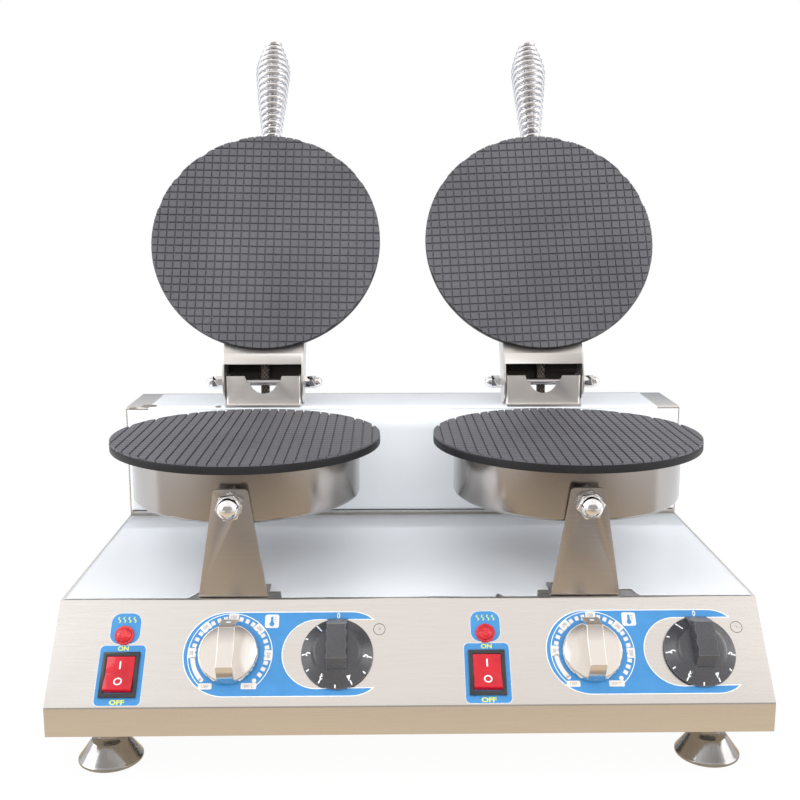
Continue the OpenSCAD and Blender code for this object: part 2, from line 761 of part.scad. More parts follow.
// Ring-shaped heating tube with two terminals, under a plate whose back is at z = 0
module heater() {
  gap_angle = 30;
  tail_l = 12;
  translate([0, 0, -heater_tube_d / 2 - 0.2]) {
    rotate([0, 0, 90 + gap_angle / 2]) rotate_extrude(angle = 360 - gap_angle, $fn = ROUND_BIG)
      translate([heater_ring_r, 0]) circle(d = heater_tube_d, $fn = ROUND_SMALL);
    for (turn = [-1, 1])
      rotate([0, 0, turn * gap_angle / 2]) translate([0, heater_ring_r, -tail_l])
        cylinder(h = tail_l, d = heater_tube_d, $fn = ROUND_SMALL);
  }
}

module lower_heaters() {
  color("darkslategray")
  for (side = [LEFT, RIGHT])
    at_head(side) translate([0, 0, plate_top_z - plate_t]) heater();
}

module upper_heater(side) {
  color("darkslategray") at_lid_plate(side) translate([0, 0, -plate_t]) mirror([0, 1, 0]) heater();
}

module upper_heater_left() { upper_heater(LEFT); }
module upper_heater_right() { upper_heater(RIGHT); }

// Fibre pad on a drum's closed end
module insulation_pad() {
  cylinder(h = pad_t, d = drum_d - 2 * drum_t - 3, $fn = ROUND_BIG);
}

module lower_insulation() {
  color("beige")
  for (side = [LEFT, RIGHT])
    at_head(side) translate([0, 0, drum_z + drum_t + pad_clear]) difference() {
      insulation_pad();
      stud_relief();
    }
}

// Clear space in a pad round the stud's head
pad_clear = 0.05;
module stud_relief() {
  translate([0, -drum_d / 2, stud_up - drum_t]) cube([stud_d * 2.2, 16, stud_d * 2.2], center = true);
}

module upper_insulation(side) {
  color("beige")
  at_lid_plate(side) translate([0, 0, -plate_t - drum_h + drum_t + pad_clear]) difference() {
    insulation_pad();
    translate([0, drum_d / 2, drum_h - grip_level + lid_back - drum_t]) cube([stud_d * 2.6, 24, stud_d * 2.6], center = true);
  }
}

module upper_insulation_left() { upper_insulation(LEFT); }
module upper_insulation_right() { upper_insulation(RIGHT); }

// Short square duct from each lower drum's back to the rear box, which carries the drum and its wires
module rear_supports() {
  duct_w = 56;
  duct_h = 24;
  duct_t = 1.5;
  pad_w = 76;
  color(steel)
  for (side = [LEFT, RIGHT])
    at_head(side) translate([0, 0, support_z]) difference() {
      translate([0, box_front_y - head_y, 0]) union() {
        translate([-duct_w / 2, -rear_gap - drum_d / 6, -duct_h / 2]) cube([duct_w, rear_gap + drum_d / 6, duct_h]);
        translate([-pad_w / 2, -duct_t, -duct_h / 2 - 3]) cube([pad_w, duct_t, duct_h + 6]);
      }
      translate([0, box_front_y - head_y, 0])
        translate([-duct_w / 2 + duct_t, -rear_gap - drum_d / 6 - over, -duct_h / 2 + duct_t])
          cube([duct_w - 2 * duct_t, rear_gap + drum_d / 6 + 2 * over, duct_h - 2 * duct_t]);
      translate([0, 0, -duct_h]) cylinder(h = 2 * duct_h, d = drum_d + 2 * seat_gap, $fn = ROUND_BIG);
    }
}

module upper_drum(side) {
  color(steel)
  at_lid(side) translate([0, -hinge_back, lid_cover]) rotate([180, 0, 0]) difference() {
    drum_cup();
    drum_hole(lid_cover - grip_level, stud_d + 2 * seat_gap, 180);
    drum_hole(lid_cover - conduit_level, conduit_d + 1, 0);
  }
}

module upper_drum_left() { upper_drum(LEFT); }
module upper_drum_right() { upper_drum(RIGHT); }

// Controls ----------------------------------------------------------------------------------

// Behind-panel body with a front bush and a blind bore for its spindle
module control_body(size, bush_l) {
  bore_l = 12;
  translate([0, 0, -sheet_t - seat_gap]) difference() {
    union() {
      translate([-size.x / 2, -size.y / 2, -size.z]) cube(size);
      cylinder(h = bush_l + sheet_t, d = bush_d, $fn = ROUND_MID);
    }
    translate([0, 0, -bore_l]) cylinder(h = bore_l + bush_l + 2 * sheet_t, d = spindle_d + 2 * rod_gap, $fn = ROUND_MID);
  }
}

thermostat_size = [36, 34, 24];
timer_size = [48, 40, 30];

module thermostats() {
  color("lightgray")
  for (side = [LEFT, RIGHT])
    at_panel(side * head_pitch / 2, knob_up) control_body(thermostat_size, 0.8);
}

module timers() {
  color("lightgray")
  for (side = [LEFT, RIGHT])
    at_panel(side * head_pitch / 2 + timer_side, knob_up) control_body(timer_size, 0.8);
}

// Spindle with a flat on its outer end
spindle_in = 11;
spindle_out = 13;
module spindle() {
  flat = spindle_d * 0.3;
  color(zinc)
  difference() {
    translate([0, 0, -sheet_t - spindle_in]) cylinder(h = sheet_t + spindle_in + spindle_out, d = spindle_d, $fn = ROUND_MID);
    translate([-spindle_d, flat, 3]) cube([2 * spindle_d, spindle_d, spindle_out]);
  }
}

// D-shaped socket of a knob, which a spindle fits
module spindle_socket() {
  gap = 2 * seat_gap;
  difference() {
    translate([0, 0, -over]) cylinder(h = spindle_out + over + 0.5, d = spindle_d + gap, $fn = ROUND_MID);
    translate([-spindle_d, spindle_d * 0.3 + seat_gap, 3.5]) cube([2 * spindle_d, spindle_d, spindle_out]);
  }
}

module at_thermostat(side) { at_panel(side * head_pitch / 2, knob_up) children(); }
module at_timer(side) { at_panel(side * head_pitch / 2 + timer_side, knob_up) children(); }

module thermostat_spindle_left() { at_thermostat(LEFT) spindle(); }
module thermostat_spindle_right() { at_thermostat(RIGHT) spindle(); }
module timer_spindle_left() { at_timer(LEFT) spindle(); }
module timer_spindle_right() { at_timer(RIGHT) spindle(); }

// Metal knob: a dished disc with a bar grip whose upper end reaches past the disc
module thermostat_knob() {
  bar_w = 12.4;
  r = thermo_r;
  top_z = knob_gap + thermo_disc_h;
  color("lightgray")
  difference() {
    union() {
      rotate_extrude($fn = 96)
        polygon(rounded(
          [[0, knob_gap], [r - 1.2, knob_gap], [r, knob_gap + 1.6], [r - 0.6, top_z], [0, top_z - 1.4]],
          [0, 0, 0.8, 1, 0], 4));
      along_x(bar_w) polygon(thermo_bar);
    }
    spindle_socket();
  }
}

// Black knob: a flared skirt for the scale, a raised hub and a bar grip with waved flanks
module timer_knob() {
  skirt_h = 3;
  hub_h = 9;
  waves = 3;
  wave = 0.5;
  grip_w = 19;
  r = timer_knob_d / 2;
  hub_r = timer_hub_d / 2;
  flank_steps = 24;
  function flank(t) = grip_w / 2 + wave * sin(360 * waves * t);
  function along(t) = timer_tail + (timer_reach - timer_tail) * t;
  right_flank = [for (i = [0 : flank_steps]) [flank(i / flank_steps), along(i / flank_steps)]];
  left_flank = [for (i = [flank_steps : -1 : 0]) [-flank(i / flank_steps), along(i / flank_steps)]];
  color(plastic_black)
  difference() {
    union() {
      rotate_extrude($fn = 96)
        polygon(rounded(
          [[0, knob_gap], [r, knob_gap], [r, knob_gap + 1.4], [hub_r + 2, knob_gap + skirt_h + 3], [hub_r, knob_gap + hub_h],
           [0, knob_gap + hub_h]],
          [0, 0.5, 0.5, 2, 1.2, 0], 4));
      intersection() {
        linear_extrude(timer_knob_h) polygon(concat(right_flank, left_flank));
        along_x(timer_knob_d) polygon(timer_bar);
      }
    }
    spindle_socket();
  }
}

module thermostat_knob_left() { at_thermostat(LEFT) thermostat_knob(); }
module thermostat_knob_right() { at_thermostat(RIGHT) thermostat_knob(); }
module timer_knob_left() { at_timer(LEFT) timer_knob(); }
module timer_knob_right() { at_timer(RIGHT) timer_knob(); }

// Rocker switches: the rocker pivots on two pins in its housing
bezel_h = 2;
rocker_l = bezel_l - 7;
rocker_w = bezel_w - 6;
rocker_pivot = -1.5;
pin_d = 3;
pin_l = 1.2;

module at_switch(side) { at_panel(side * head_pitch / 2 - switch_side, switch_up) children(); }

module switch_housings() {
  body_h = 24;
  well_l = rocker_l + 1.6;
  well_w = rocker_w + 0.6;
  well_h = 9;
  tab = [6.3, 0.8, 9];
  color(plastic_black)
  for (side = [LEFT, RIGHT])
    at_switch(side) difference() {
      union() {
        translate([-bezel_w / 2, -bezel_l / 2, 0]) cube([bezel_w, bezel_l, bezel_h]);
        translate([-switch_body_w / 2, -switch_body_l / 2, -body_h]) cube([switch_body_w, switch_body_l, body_h]);
        for (y = [-8, 0, 8])
          translate([-tab.x / 2, y - tab.y / 2, -body_h - tab.z]) cube([tab.x, tab.y, tab.z + over]);
      }
      translate([-well_w / 2, -well_l / 2, bezel_h - well_h]) cube([well_w, well_l, well_h + over]);
      translate([-rocker_w / 2 - pin_l - 0.1, 0, rocker_pivot]) rotate([0, 90, 0])
        cylinder(h = rocker_w + 2 * pin_l + 0.2, d = pin_d + 2 * rod_gap, $fn = ROUND_SMALL);
    }
}

module rocker(side) {
  half = rocker_l / 2;
  rise = 5.4;
  valley = 3.4;
  outline = [[-half, -1.5], [-4, -4.5], [4, -4.5], [half, -1.5], [half, rise], [0, valley], [-half, rise]];
  color("red")
  at_switch(side) translate([0, 0, rocker_pivot]) rotate([-rocker_tilt, 0, 0]) {
    along_x(rocker_w) polygon(rounded(outline, [0.5, 0, 0, 0.5, 0.6, 4, 0.6], 4));
    translate([-rocker_w / 2 - pin_l, 0, 0]) rotate([0, 90, 0])
      cylinder(h = rocker_w + 2 * pin_l, d = pin_d, $fn = ROUND_SMALL);
  }
}

module rocker_left() { rocker(LEFT); }
module rocker_right() { rocker(RIGHT); }

// Pilot lamps
module at_lamp(side) { at_panel(side * head_pitch / 2 - switch_side, lamp_up) children(); }

module lamp_holders() {
  bezel_t = 1.6;
  body_l = 24;
  color("darkred")
  for (side = [LEFT, RIGHT])
    at_lamp(side) difference() {
      union() {
        cylinder(h = bezel_t, d = lamp_d, $fn = ROUND_MID);
        translate([0, 0, -body_l]) cylinder(h = body_l, d = lamp_body_d, $fn = ROUND_MID);
      }
      translate([0, 0, -3]) cylinder(h = bezel_t + 4, d = lamp_d - 3.2, $fn = ROUND_MID);
    }
}

module lamp_lenses() {
  lens_h = 5;
  color("red")
  for (side = [LEFT, RIGHT])
    at_lamp(side) translate([0, 0, -3 + seat_gap]) {
      cylinder(h = lens_h, d = lamp_d - 3.2 - 2 * seat_gap, $fn = ROUND_MID);
      translate([0, 0, lens_h]) cylinder(h = 2.2, d1 = lamp_d - 3.3, d2 = lamp_d - 8, $fn = ROUND_MID);
    }
}

// Hinges ------------------------------------------------------------------------------------

// Folded fixed bracket: front plate with a cable notch, two cheeks and a short foot to the box's edge
module hinge_bracket(side) {
  half = bracket_w / 2;
  total_h = hinge_up + bracket_over;
  foot_l = hinge_y - bracket_face - box_front_y;
  u_plan = [[-half, 0], [half, 0], [half, cheek_d], [half - bracket_t, cheek_d], [half - bracket_t, bracket_t],
            [-half + bracket_t, bracket_t], [-half + bracket_t, cheek_d], [-half, cheek_d]];
  u_radii = [2.4, 2.4, 0, 0, 0.6, 0.6, 0, 0];
  cheek = [[0, 0], [cheek_d, 0], [cheek_d, total_h], [0, total_h]];
  color(steel)
  at_hinge(side) translate([0, -bracket_face, -hinge_up]) difference() {
    union() {
      intersection() {
        linear_extrude(total_h) polygon(rounded(u_plan, u_radii));
        along_x(bracket_w) polygon(rounded(cheek, [0, 0, 8, 0]));
      }
      translate([-half, -foot_l, 0]) cube([bracket_w, foot_l + 0.5, bracket_t]);
    }
    translate([0, -over, total_h]) rotate([-90, 0, 0]) linear_extrude(bracket_t + 2 * over) cable_notch();
    translate([-half - over, bracket_face, hinge_up]) rotate([0, 90, 0])
      cylinder(h = bracket_w + 2 * over, d = rod_d + 2 * rod_gap, $fn = ROUND_SMALL);
  }
}

// Outline of the notch, downwards from the bracket's top edge
module cable_notch() {
  step = notch_depth * 0.35;
  arc_r = notch_depth - step + 2;
  polygon([[-notch_half, -over], [notch_half, -over], [notch_half - 2.2, step], [-notch_half + 2.2, step]]);
  intersection() {
    translate([0, notch_depth - arc_r]) circle(r = arc_r, $fn = 96);
    translate([-notch_half + 2.2, 0]) square([2 * notch_half - 4.4, notch_depth + over]);
  }
}

module hinge_bracket_left() { hinge_bracket(LEFT); }
module hinge_bracket_right() { hinge_bracket(RIGHT); }

rod_half = lid_bracket_w / 2 + rod_end;
cheek_gap = 0.3;

module hinge_rods() {
  color(zinc)
  for (side = [LEFT, RIGHT])
    at_hinge(side) translate([-rod_half, 0, 0]) rotate([0, 90, 0]) cylinder(h = 2 * rod_half, d = rod_d, $fn = ROUND_SMALL);
}

// A plain nut and an acorn nut on each end of each rod
module hinge_nuts() {
  acorn_total = 11;
  color(zinc)
  for (side = [LEFT, RIGHT], end = [-1, 1])
    at_hinge(side) rotate([0, end * 90, 0]) translate([0, 0, lid_bracket_w / 2 + cheek_gap]) {
      rotate([0, 0, 12]) hexagon(m6_across, m6_nut_t, rod_d + 2 * seat_gap);
      translate([0, 0, m6_nut_t + seat_gap]) acorn_nut(m6_across, 5, acorn_total, rod_d + 2 * seat_gap);
    }
}

// Side outline of a lid cheek, as [distance from the axis towards the handle, level]
heel_drop = hinge_up - 0.4;
heel_near = [-heel_drop * sin(open_angle), -heel_drop * cos(open_angle)];
heel_far = heel_near + 9 * [-cos(open_angle), sin(open_angle)];
cheek_tip = 15;
lid_cheek_outline = [
  [strip_near - 1, -16.2], [strip_far + 0.6, -16.2], [strip_far + 0.6, web_level], [drum_near + 8, web_level],
  [drum_near + 8, lid_cover - 6], [drum_near - 14, 16], heel_far, heel_near, [-cheek_tip, -5], [-5, -cheek_tip]];

// Box-shaped lid bracket, seated on the back of the lid's drum
module lid_bracket(side) {
  half = lid_bracket_w / 2;
  inner_w = lid_bracket_w - 2 * lid_bracket_t;
  color(steel)
  at_lid(side) difference() {
    mirror([0, 1, 0]) union() {
      difference() {
        along_x(lid_bracket_w) polygon(rounded(lid_cheek_outline, [2, 0, 0, 0, 0, 3, 1, 1, 6, 6]));
        along_x(inner_w) translate([-60, -60]) square([200, 200]);
      }
      // Folded strip, front web and back web between the cheeks
      along_x(inner_w + 1) polygon([
        [strip_near, strip_level], [strip_far, strip_level], [strip_far, web_level],
        [drum_near + 8, web_level], [drum_near + 8, web_level + lid_bracket_t], [strip_far - lid_bracket_t, web_level + lid_bracket_t],
        [strip_far - lid_bracket_t, strip_level + lid_bracket_t], [strip_near, strip_level + lid_bracket_t]]);
      along_x(inner_w + 1) polygon([
        [strip_near + 1, back_web_level], [drum_near - 14, back_web_level], [drum_near + 8, lid_cover - 8],
        [drum_near + 8, lid_cover - 8 - lid_bracket_t * 1.1], [drum_near - 13.5, back_web_level - lid_bracket_t],
        [strip_near + 1, back_web_level - lid_bracket_t]]);
    }
    // Seat on the drum, and the pivot holes
    translate([0, -hinge_back, -60]) cylinder(h = 160, d = drum_d + 2 * seat_gap, $fn = ROUND_BIG);
    translate([-half - over, 0, 0]) rotate([0, 90, 0])
      cylinder(h = lid_bracket_w + 2 * over, d = rod_d + 2 * rod_gap, $fn = ROUND_SMALL);
  }
}

module lid_bracket_left() { lid_bracket(LEFT); }
module lid_bracket_right() { lid_bracket(RIGHT); }

// Handles -----------------------------------------------------------------------------------

// Frame of a handle: +Y away from the hinge, y = 0 on the drum's side
module at_handle(side) {
  at_lid(side) translate([0, -drum_far, grip_level]) mirror([0, 1, 0]) children();
}

// Turned stem: a shank through the drum's wall, a collar and a thin rod inside the coil
module handle_stem(side) {
  collar_h = grip_start - seat_gap;
  head_t = 4;
  color(zinc)
  at_handle(side) rotate([-90, 0, 0]) {
    translate([0, 0, -drum_t - 1 - head_t]) cylinder(h = head_t, d = m10_across, $fn = 6);
    translate([0, 0, -drum_t - 1]) cylinder(h = drum_t + 2, d = stud_d, $fn = ROUND_SMALL);
    translate([0, 0, 0.2]) cylinder(h = collar_h - 0.2, d1 = 2 * grip_neck_r + 2, d2 = 2 * grip_neck_r, $fn = ROUND_MID);
    translate([0, 0, collar_h - 0.5]) cylinder(h = grip_l - collar_h - grip_wire_d, d = stem_d, $fn = ROUND_SMALL);
  }
}

module handle_stem_left() { handle_stem(LEFT); }
module handle_stem_right() { handle_stem(RIGHT); }

// Sweeps a round section along a path, with flat ends. The guide is a direction that the path never takes.
function frame_of(path, i, guide) =
  let (n = len(path), d = unit(path[min(i + 1, n - 1)] - path[max(i - 1, 0)]))
  let (side = unit(cross(d, guide)))
  [side, cross(side, d)];
function tube_ring(path, i, r, sides, guide) =
  let (f = frame_of(path, i, guide))
  [for (k = [0 : sides - 1]) path[i] + r * (cos(360 * k / sides) * f[0] + sin(360 * k / sides) * f[1])];

module swept_tube(path, r, sides, guide) {
  n = len(path);
  points = [for (i = [0 : n - 1]) each tube_ring(path, i, r, sides, guide)];
  walls = [for (i = [0 : n - 2], k = [0 : sides - 1])
    let (a = i * sides + k, b = i * sides + (k + 1) % sides)
    each [[a, b, b + sides], [a, b + sides, a + sides]]];
  ends = [[for (k = [sides - 1 : -1 : 0]) k], [for (k = [0 : sides - 1]) (n - 1) * sides + k]];
  polyhedron(points, concat(walls, ends), convexity = 8);
}

// Barrel-shaped coil grip, wound from one wire
module handle_coil(side) {
  color(chrome) at_handle(side) swept_tube(grip_path, grip_wire_d / 2, grip_sides, [0, 1, 0]);
}

module handle_coil_left() { handle_coil(LEFT); }
module handle_coil_right() { handle_coil(RIGHT); }

// Heater conduits ---------------------------------------------------------------------------

conduit_level = 2;
conduit_end = drum_near - 0.3;

// Path from inside the rear box, behind the rod, to the open lid's drum
function lid_to_hinge(a, b) = [-a * cos(open_angle) + b * sin(open_angle), a * sin(open_angle) + b * cos(open_angle)];
conduit_knots = [
  [conduit_back, -hinge_up - 12], [conduit_back, -hinge_up], [conduit_back, -6], [conduit_back + 1, 8],
  lid_to_hinge(conduit_end - 10, conduit_level), lid_to_hinge(conduit_end, conduit_level)];
conduit_steps = 4;
function spline(p, q, r, s, t) =
  0.5 * (2 * q + (r - p) * t + (2 * p - 5 * q + 4 * r - s) * t * t + (3 * q - p - 3 * r + s) * t * t * t);
function knot(i) = conduit_knots[max(0, min(len(conduit_knots) - 1, i))];
conduit_path = concat(
  [for (i = [0 : len(conduit_knots) - 2], k = [0 : conduit_steps - 1])
    let (p = spline(knot(i - 1), knot(i), knot(i + 1), knot(i + 2), k / conduit_steps)) [0, p.x, p.y]],
  [[0, knot(len(conduit_knots)).x, knot(len(conduit_knots)).y]]);

module conduit(side) {
  color("gray") at_hinge(side) swept_tube(conduit_path, conduit_d / 2, 8, [1, 0, 0]);
}

module conduit_left() { conduit(LEFT); }
module conduit_right() { conduit(RIGHT); }

// Rubber grommets in the rear box's top
module conduit_grommets() {
  lip = 1.5;
  color(plastic_black)
  for (side = [LEFT, RIGHT])
    at_hinge(side) translate([0, conduit_back, -hinge_up]) difference() {
      union() {
        cylinder(h = lip, d = grommet_neck_d + 4, $fn = ROUND_MID);
        translate([0, 0, -sheet_t - lip]) cylinder(h = sheet_t + lip + 0.5, d = grommet_neck_d - 2 * seat_gap, $fn = ROUND_MID);
        translate([0, 0, -sheet_t - lip - seat_gap]) cylinder(h = lip, d = grommet_neck_d + 4, $fn = ROUND_MID);
      }
      translate([0, 0, -sheet_t - 2 * lip]) cylinder(h = sheet_t + 4 * lip, d = conduit_d + 0.5, $fn = ROUND_MID);
    }
}

// Feet --------------------------------------------------------------------------------------

module foot_studs() {
  stud_top = bottom_seat_z + foot_nut_t + 1;
  color(zinc)
  in_base() foot_places() translate([0, 0, stud_seat])
    cylinder(h = stud_top - stud_seat, d = foot_stud_d, $fn = ROUND_SMALL);
}

// Conical foot with a rounded rim and a collar, which turns on its stud
module foot(x, back) {
  r = foot_d / 2;
  neck_r = foot_stud_d / 2 + 2.4;
  shoulder_z = foot_h - 4.8;
  cone = [[0, 0], [r - 1.2, 0], [r, 1], [r, 2.4], [r - 1, 3.6], [r * 0.57, shoulder_z], [neck_r + 1.2, shoulder_z + 1],
          [neck_r, shoulder_z + 2], [neck_r, foot_h], [0, foot_h]];
  color(chrome)
  in_base() translate([x * (base_w / 2 - foot_inset_x), back ? base_d - foot_inset_y : foot_inset_y, 0]) difference() {
    rotate_extrude($fn = 96) polygon(rounded(cone, [0, 0.4, 0.4, 0.5, 1.2, 2, 0.6, 0.4, 0.6, 0], 4));
    translate([0, 0, stud_seat]) cylinder(h = foot_h, d = foot_stud_d + 2 * rod_gap, $fn = ROUND_SMALL);
  }
}

module foot_front_left() { foot(-1, false); }
module foot_front_right() { foot(1, false); }
module foot_back_left() { foot(-1, true); }
module foot_back_right() { foot(1, true); }

// Nodes -------------------------------------------------------------------------------------

base_shell();
bottom_plate();
rear_box();
rear_panel();
cable_gland();
terminal_block();
front_bracket_left();
front_bracket_right();
drum_studs();
front_acorn_nuts();
hex_nuts();
case_screws();
lower_drum_left();
lower_drum_right();
lower_plate_left();
lower_plate_right();
lower_heaters();
lower_insulation();
rear_supports();
thermostats();
timers();
switch_housings();
lamp_holders();
lamp_lenses();
hinge_bracket_left();
hinge_bracket_right();
hinge_rods();
hinge_nuts();
conduit_grommets();
conduit_left();
conduit_right();
foot_studs();
upper_plate_left();
upper_plate_right();
upper_drum_left();
upper_drum_right();
upper_heater_left();
upper_heater_right();
upper_insulation_left();
upper_insulation_right();
lid_bracket_left();
lid_bracket_right();
handle_stem_left();
handle_stem_right();
handle_coil_left();
handle_coil_right();
thermostat_knob_left();
thermostat_knob_right();
thermostat_spindle_left();
thermostat_spindle_right();
timer_knob_left();
timer_knob_right();
timer_spindle_left();
timer_spindle_right();
rocker_left();
rocker_right();
foot_front_left();
foot_front_right();
foot_back_left();
foot_back_right();
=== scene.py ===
"""Looks of a double waffle cone maker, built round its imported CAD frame.

Every length is in metres in the frame's own space: X to the user's right, Y to the back and Z up.
"""

import json
import logging
import math
from dataclasses import dataclass
from enum import Enum
from typing import Callable, Sequence

import bmesh
import bpy
from mathutils import Matrix, Vector, noise
from mathutils.geometry import tessellate_polygon

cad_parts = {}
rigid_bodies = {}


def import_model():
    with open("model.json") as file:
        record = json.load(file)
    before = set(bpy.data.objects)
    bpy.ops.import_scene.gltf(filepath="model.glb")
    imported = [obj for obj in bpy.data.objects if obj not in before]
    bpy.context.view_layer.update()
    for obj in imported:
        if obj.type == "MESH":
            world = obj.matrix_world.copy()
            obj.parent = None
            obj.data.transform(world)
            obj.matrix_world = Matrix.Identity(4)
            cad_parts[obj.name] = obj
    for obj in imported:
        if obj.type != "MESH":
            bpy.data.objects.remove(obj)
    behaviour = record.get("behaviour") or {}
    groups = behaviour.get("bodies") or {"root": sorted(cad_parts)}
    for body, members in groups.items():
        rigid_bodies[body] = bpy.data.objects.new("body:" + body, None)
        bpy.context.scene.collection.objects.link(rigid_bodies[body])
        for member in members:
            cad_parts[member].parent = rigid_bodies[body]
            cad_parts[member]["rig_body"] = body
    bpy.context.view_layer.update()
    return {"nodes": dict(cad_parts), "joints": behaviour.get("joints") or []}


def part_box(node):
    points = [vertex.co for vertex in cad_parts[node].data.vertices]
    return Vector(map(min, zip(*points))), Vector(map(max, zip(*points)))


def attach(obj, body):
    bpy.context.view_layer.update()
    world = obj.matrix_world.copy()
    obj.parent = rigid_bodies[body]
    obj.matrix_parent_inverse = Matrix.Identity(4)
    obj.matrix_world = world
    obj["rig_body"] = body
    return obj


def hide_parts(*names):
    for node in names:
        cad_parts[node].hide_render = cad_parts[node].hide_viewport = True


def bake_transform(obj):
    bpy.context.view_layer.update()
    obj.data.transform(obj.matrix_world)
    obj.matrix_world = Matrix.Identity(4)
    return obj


MM = 0.001
TURN = 2 * math.pi
TINY = 0.001 * MM
# Edges that turn more than SHARP degrees stay sharp. With ROUND, all are smooth.
SHARP = 35.0
ROUND = 180.0
LOG = logging.getLogger("waffle_cone_maker")
Rgb = tuple[float, float, float]
Point = tuple[float, float]

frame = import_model()


class Side(Enum):
    """One of the two heads."""

    LEFT = "left"
    RIGHT = "right"


class Grain(Enum):
    """Direction in which sheet metal was brushed, as the scale along each axis."""

    ACROSS = (0.25, 50.0, 50.0)
    UPRIGHT = (50.0, 50.0, 0.25)
    ROUND = (4.0, 4.0, 60.0)


def mm(value: float | tuple) -> float | tuple:
    """Args:
        value: millimetres, alone or in nested tuples.

    Returns:
        The same in metres.
    """
    return tuple(mm(v) for v in value) if isinstance(value, tuple) else value * MM


# Node trees ---------------------------------------------------------------------------------


@dataclass
class Value:
    """A number or vector in a node tree. Arithmetic on it adds math nodes."""

    tree: "Tree"
    socket: bpy.types.NodeSocket

    def __add__(self, other: object) -> "Value":
        """Returns: their sum."""
        return self.tree.math("ADD", self, other)

    def __sub__(self, other: object) -> "Value":
        """Returns: their difference."""
        return self.tree.math("SUBTRACT", self, other)

    def __mul__(self, other: object) -> "Value":
        """Returns: their product."""
        return self.tree.math("MULTIPLY", self, other)

    def __truediv__(self, other: object) -> "Value":
        """Returns: their quotient."""
        return self.tree.math("DIVIDE", self, other)


class Tree:
    """A node tree that is being built."""

    def __init__(self, tree: bpy.types.NodeTree, family: str) -> None:
        """Args:
        tree: the empty tree.
        family: start of its nodes' type names.
        """
        self.tree = tree
        self.family = family

    def give(self, socket: bpy.types.NodeSocket, value: object) -> None:
        """Feeds an input.

        Args:
            socket: the input.
            value: a value, a socket or a node to link, or a constant.
        """
        if isinstance(value, Value):
            value = value.socket
        elif isinstance(value, bpy.types.Node):
            value = value.outputs[0]
        if isinstance(value, bpy.types.NodeSocket):
            self.tree.links.new(value, socket)
        else:
            socket.default_value = (*value, 1.0) if socket.type == "RGBA" else value

    def add(self, kind: str, inputs: dict | None = None, **settings: object) -> bpy.types.Node:
        """Args:
            kind: the node's type, without the family's name.
            inputs: what feeds its inputs, by name or number.
            settings: attributes set on it.

        Returns:
            The new node.
        """
        made = self.tree.nodes.new(kind if "Node" in kind else self.family + kind)
        for key, value in settings.items():
            setattr(made, key, value)
        for key, value in (inputs or {}).items():
            self.give(made.inputs[key], value)
        return made

    def value(
        self, kind: str, inputs: dict | None = None, output: str | int = 0, **settings: object
    ) -> Value:
        """Args:
            kind: the node's type.
            inputs: what feeds its inputs.
            output: which output is wanted.
            settings: attributes set on it.

        Returns:
            That output.
        """
        return Value(self, self.add(kind, inputs, **settings).outputs[output])

    def math(self, operation: str, *values: object) -> Value:
        """Args:
            operation: the math node's operation.
            values: what it works on.

        Returns:
            The result.
        """
        return self.value("ShaderNodeMath", dict(enumerate(values)), operation=operation)

    def length(self, vector: object) -> Value:
        """Args:
            vector: a vector.

        Returns:
            Its length.
        """
        return self.value("ShaderNodeVectorMath", {0: vector}, "Value", operation="LENGTH")

    def vector(self, x: object, y: object, z: object) -> Value:
        """Args:
            x: first part.
            y: second part.
            z: third part.

        Returns:
            The vector.
        """
        return self.value("ShaderNodeCombineXYZ", {0: x, 1: y, 2: z})

    def split(self, vector: object) -> list[Value]:
        """Args:
            vector: a vector.

        Returns:
            Its three parts.
        """
        return [Value(self, s) for s in self.add("ShaderNodeSeparateXYZ", {0: vector}).outputs]

    def blend(self, factor: object, a: object, b: object) -> bpy.types.NodeSocket:
        """Args:
            factor: 0 gives a and 1 gives b.
            a: first colour.
            b: second colour.

        Returns:
            The mixed colour.
        """
        made = self.add("ShaderNodeMix", {"Factor": factor}, data_type="RGBA")
        for socket, colour in zip([s for s in made.inputs if s.type == "RGBA"], (a, b)):
            self.give(socket, colour)
        return next(s for s in made.outputs if s.type == "RGBA")


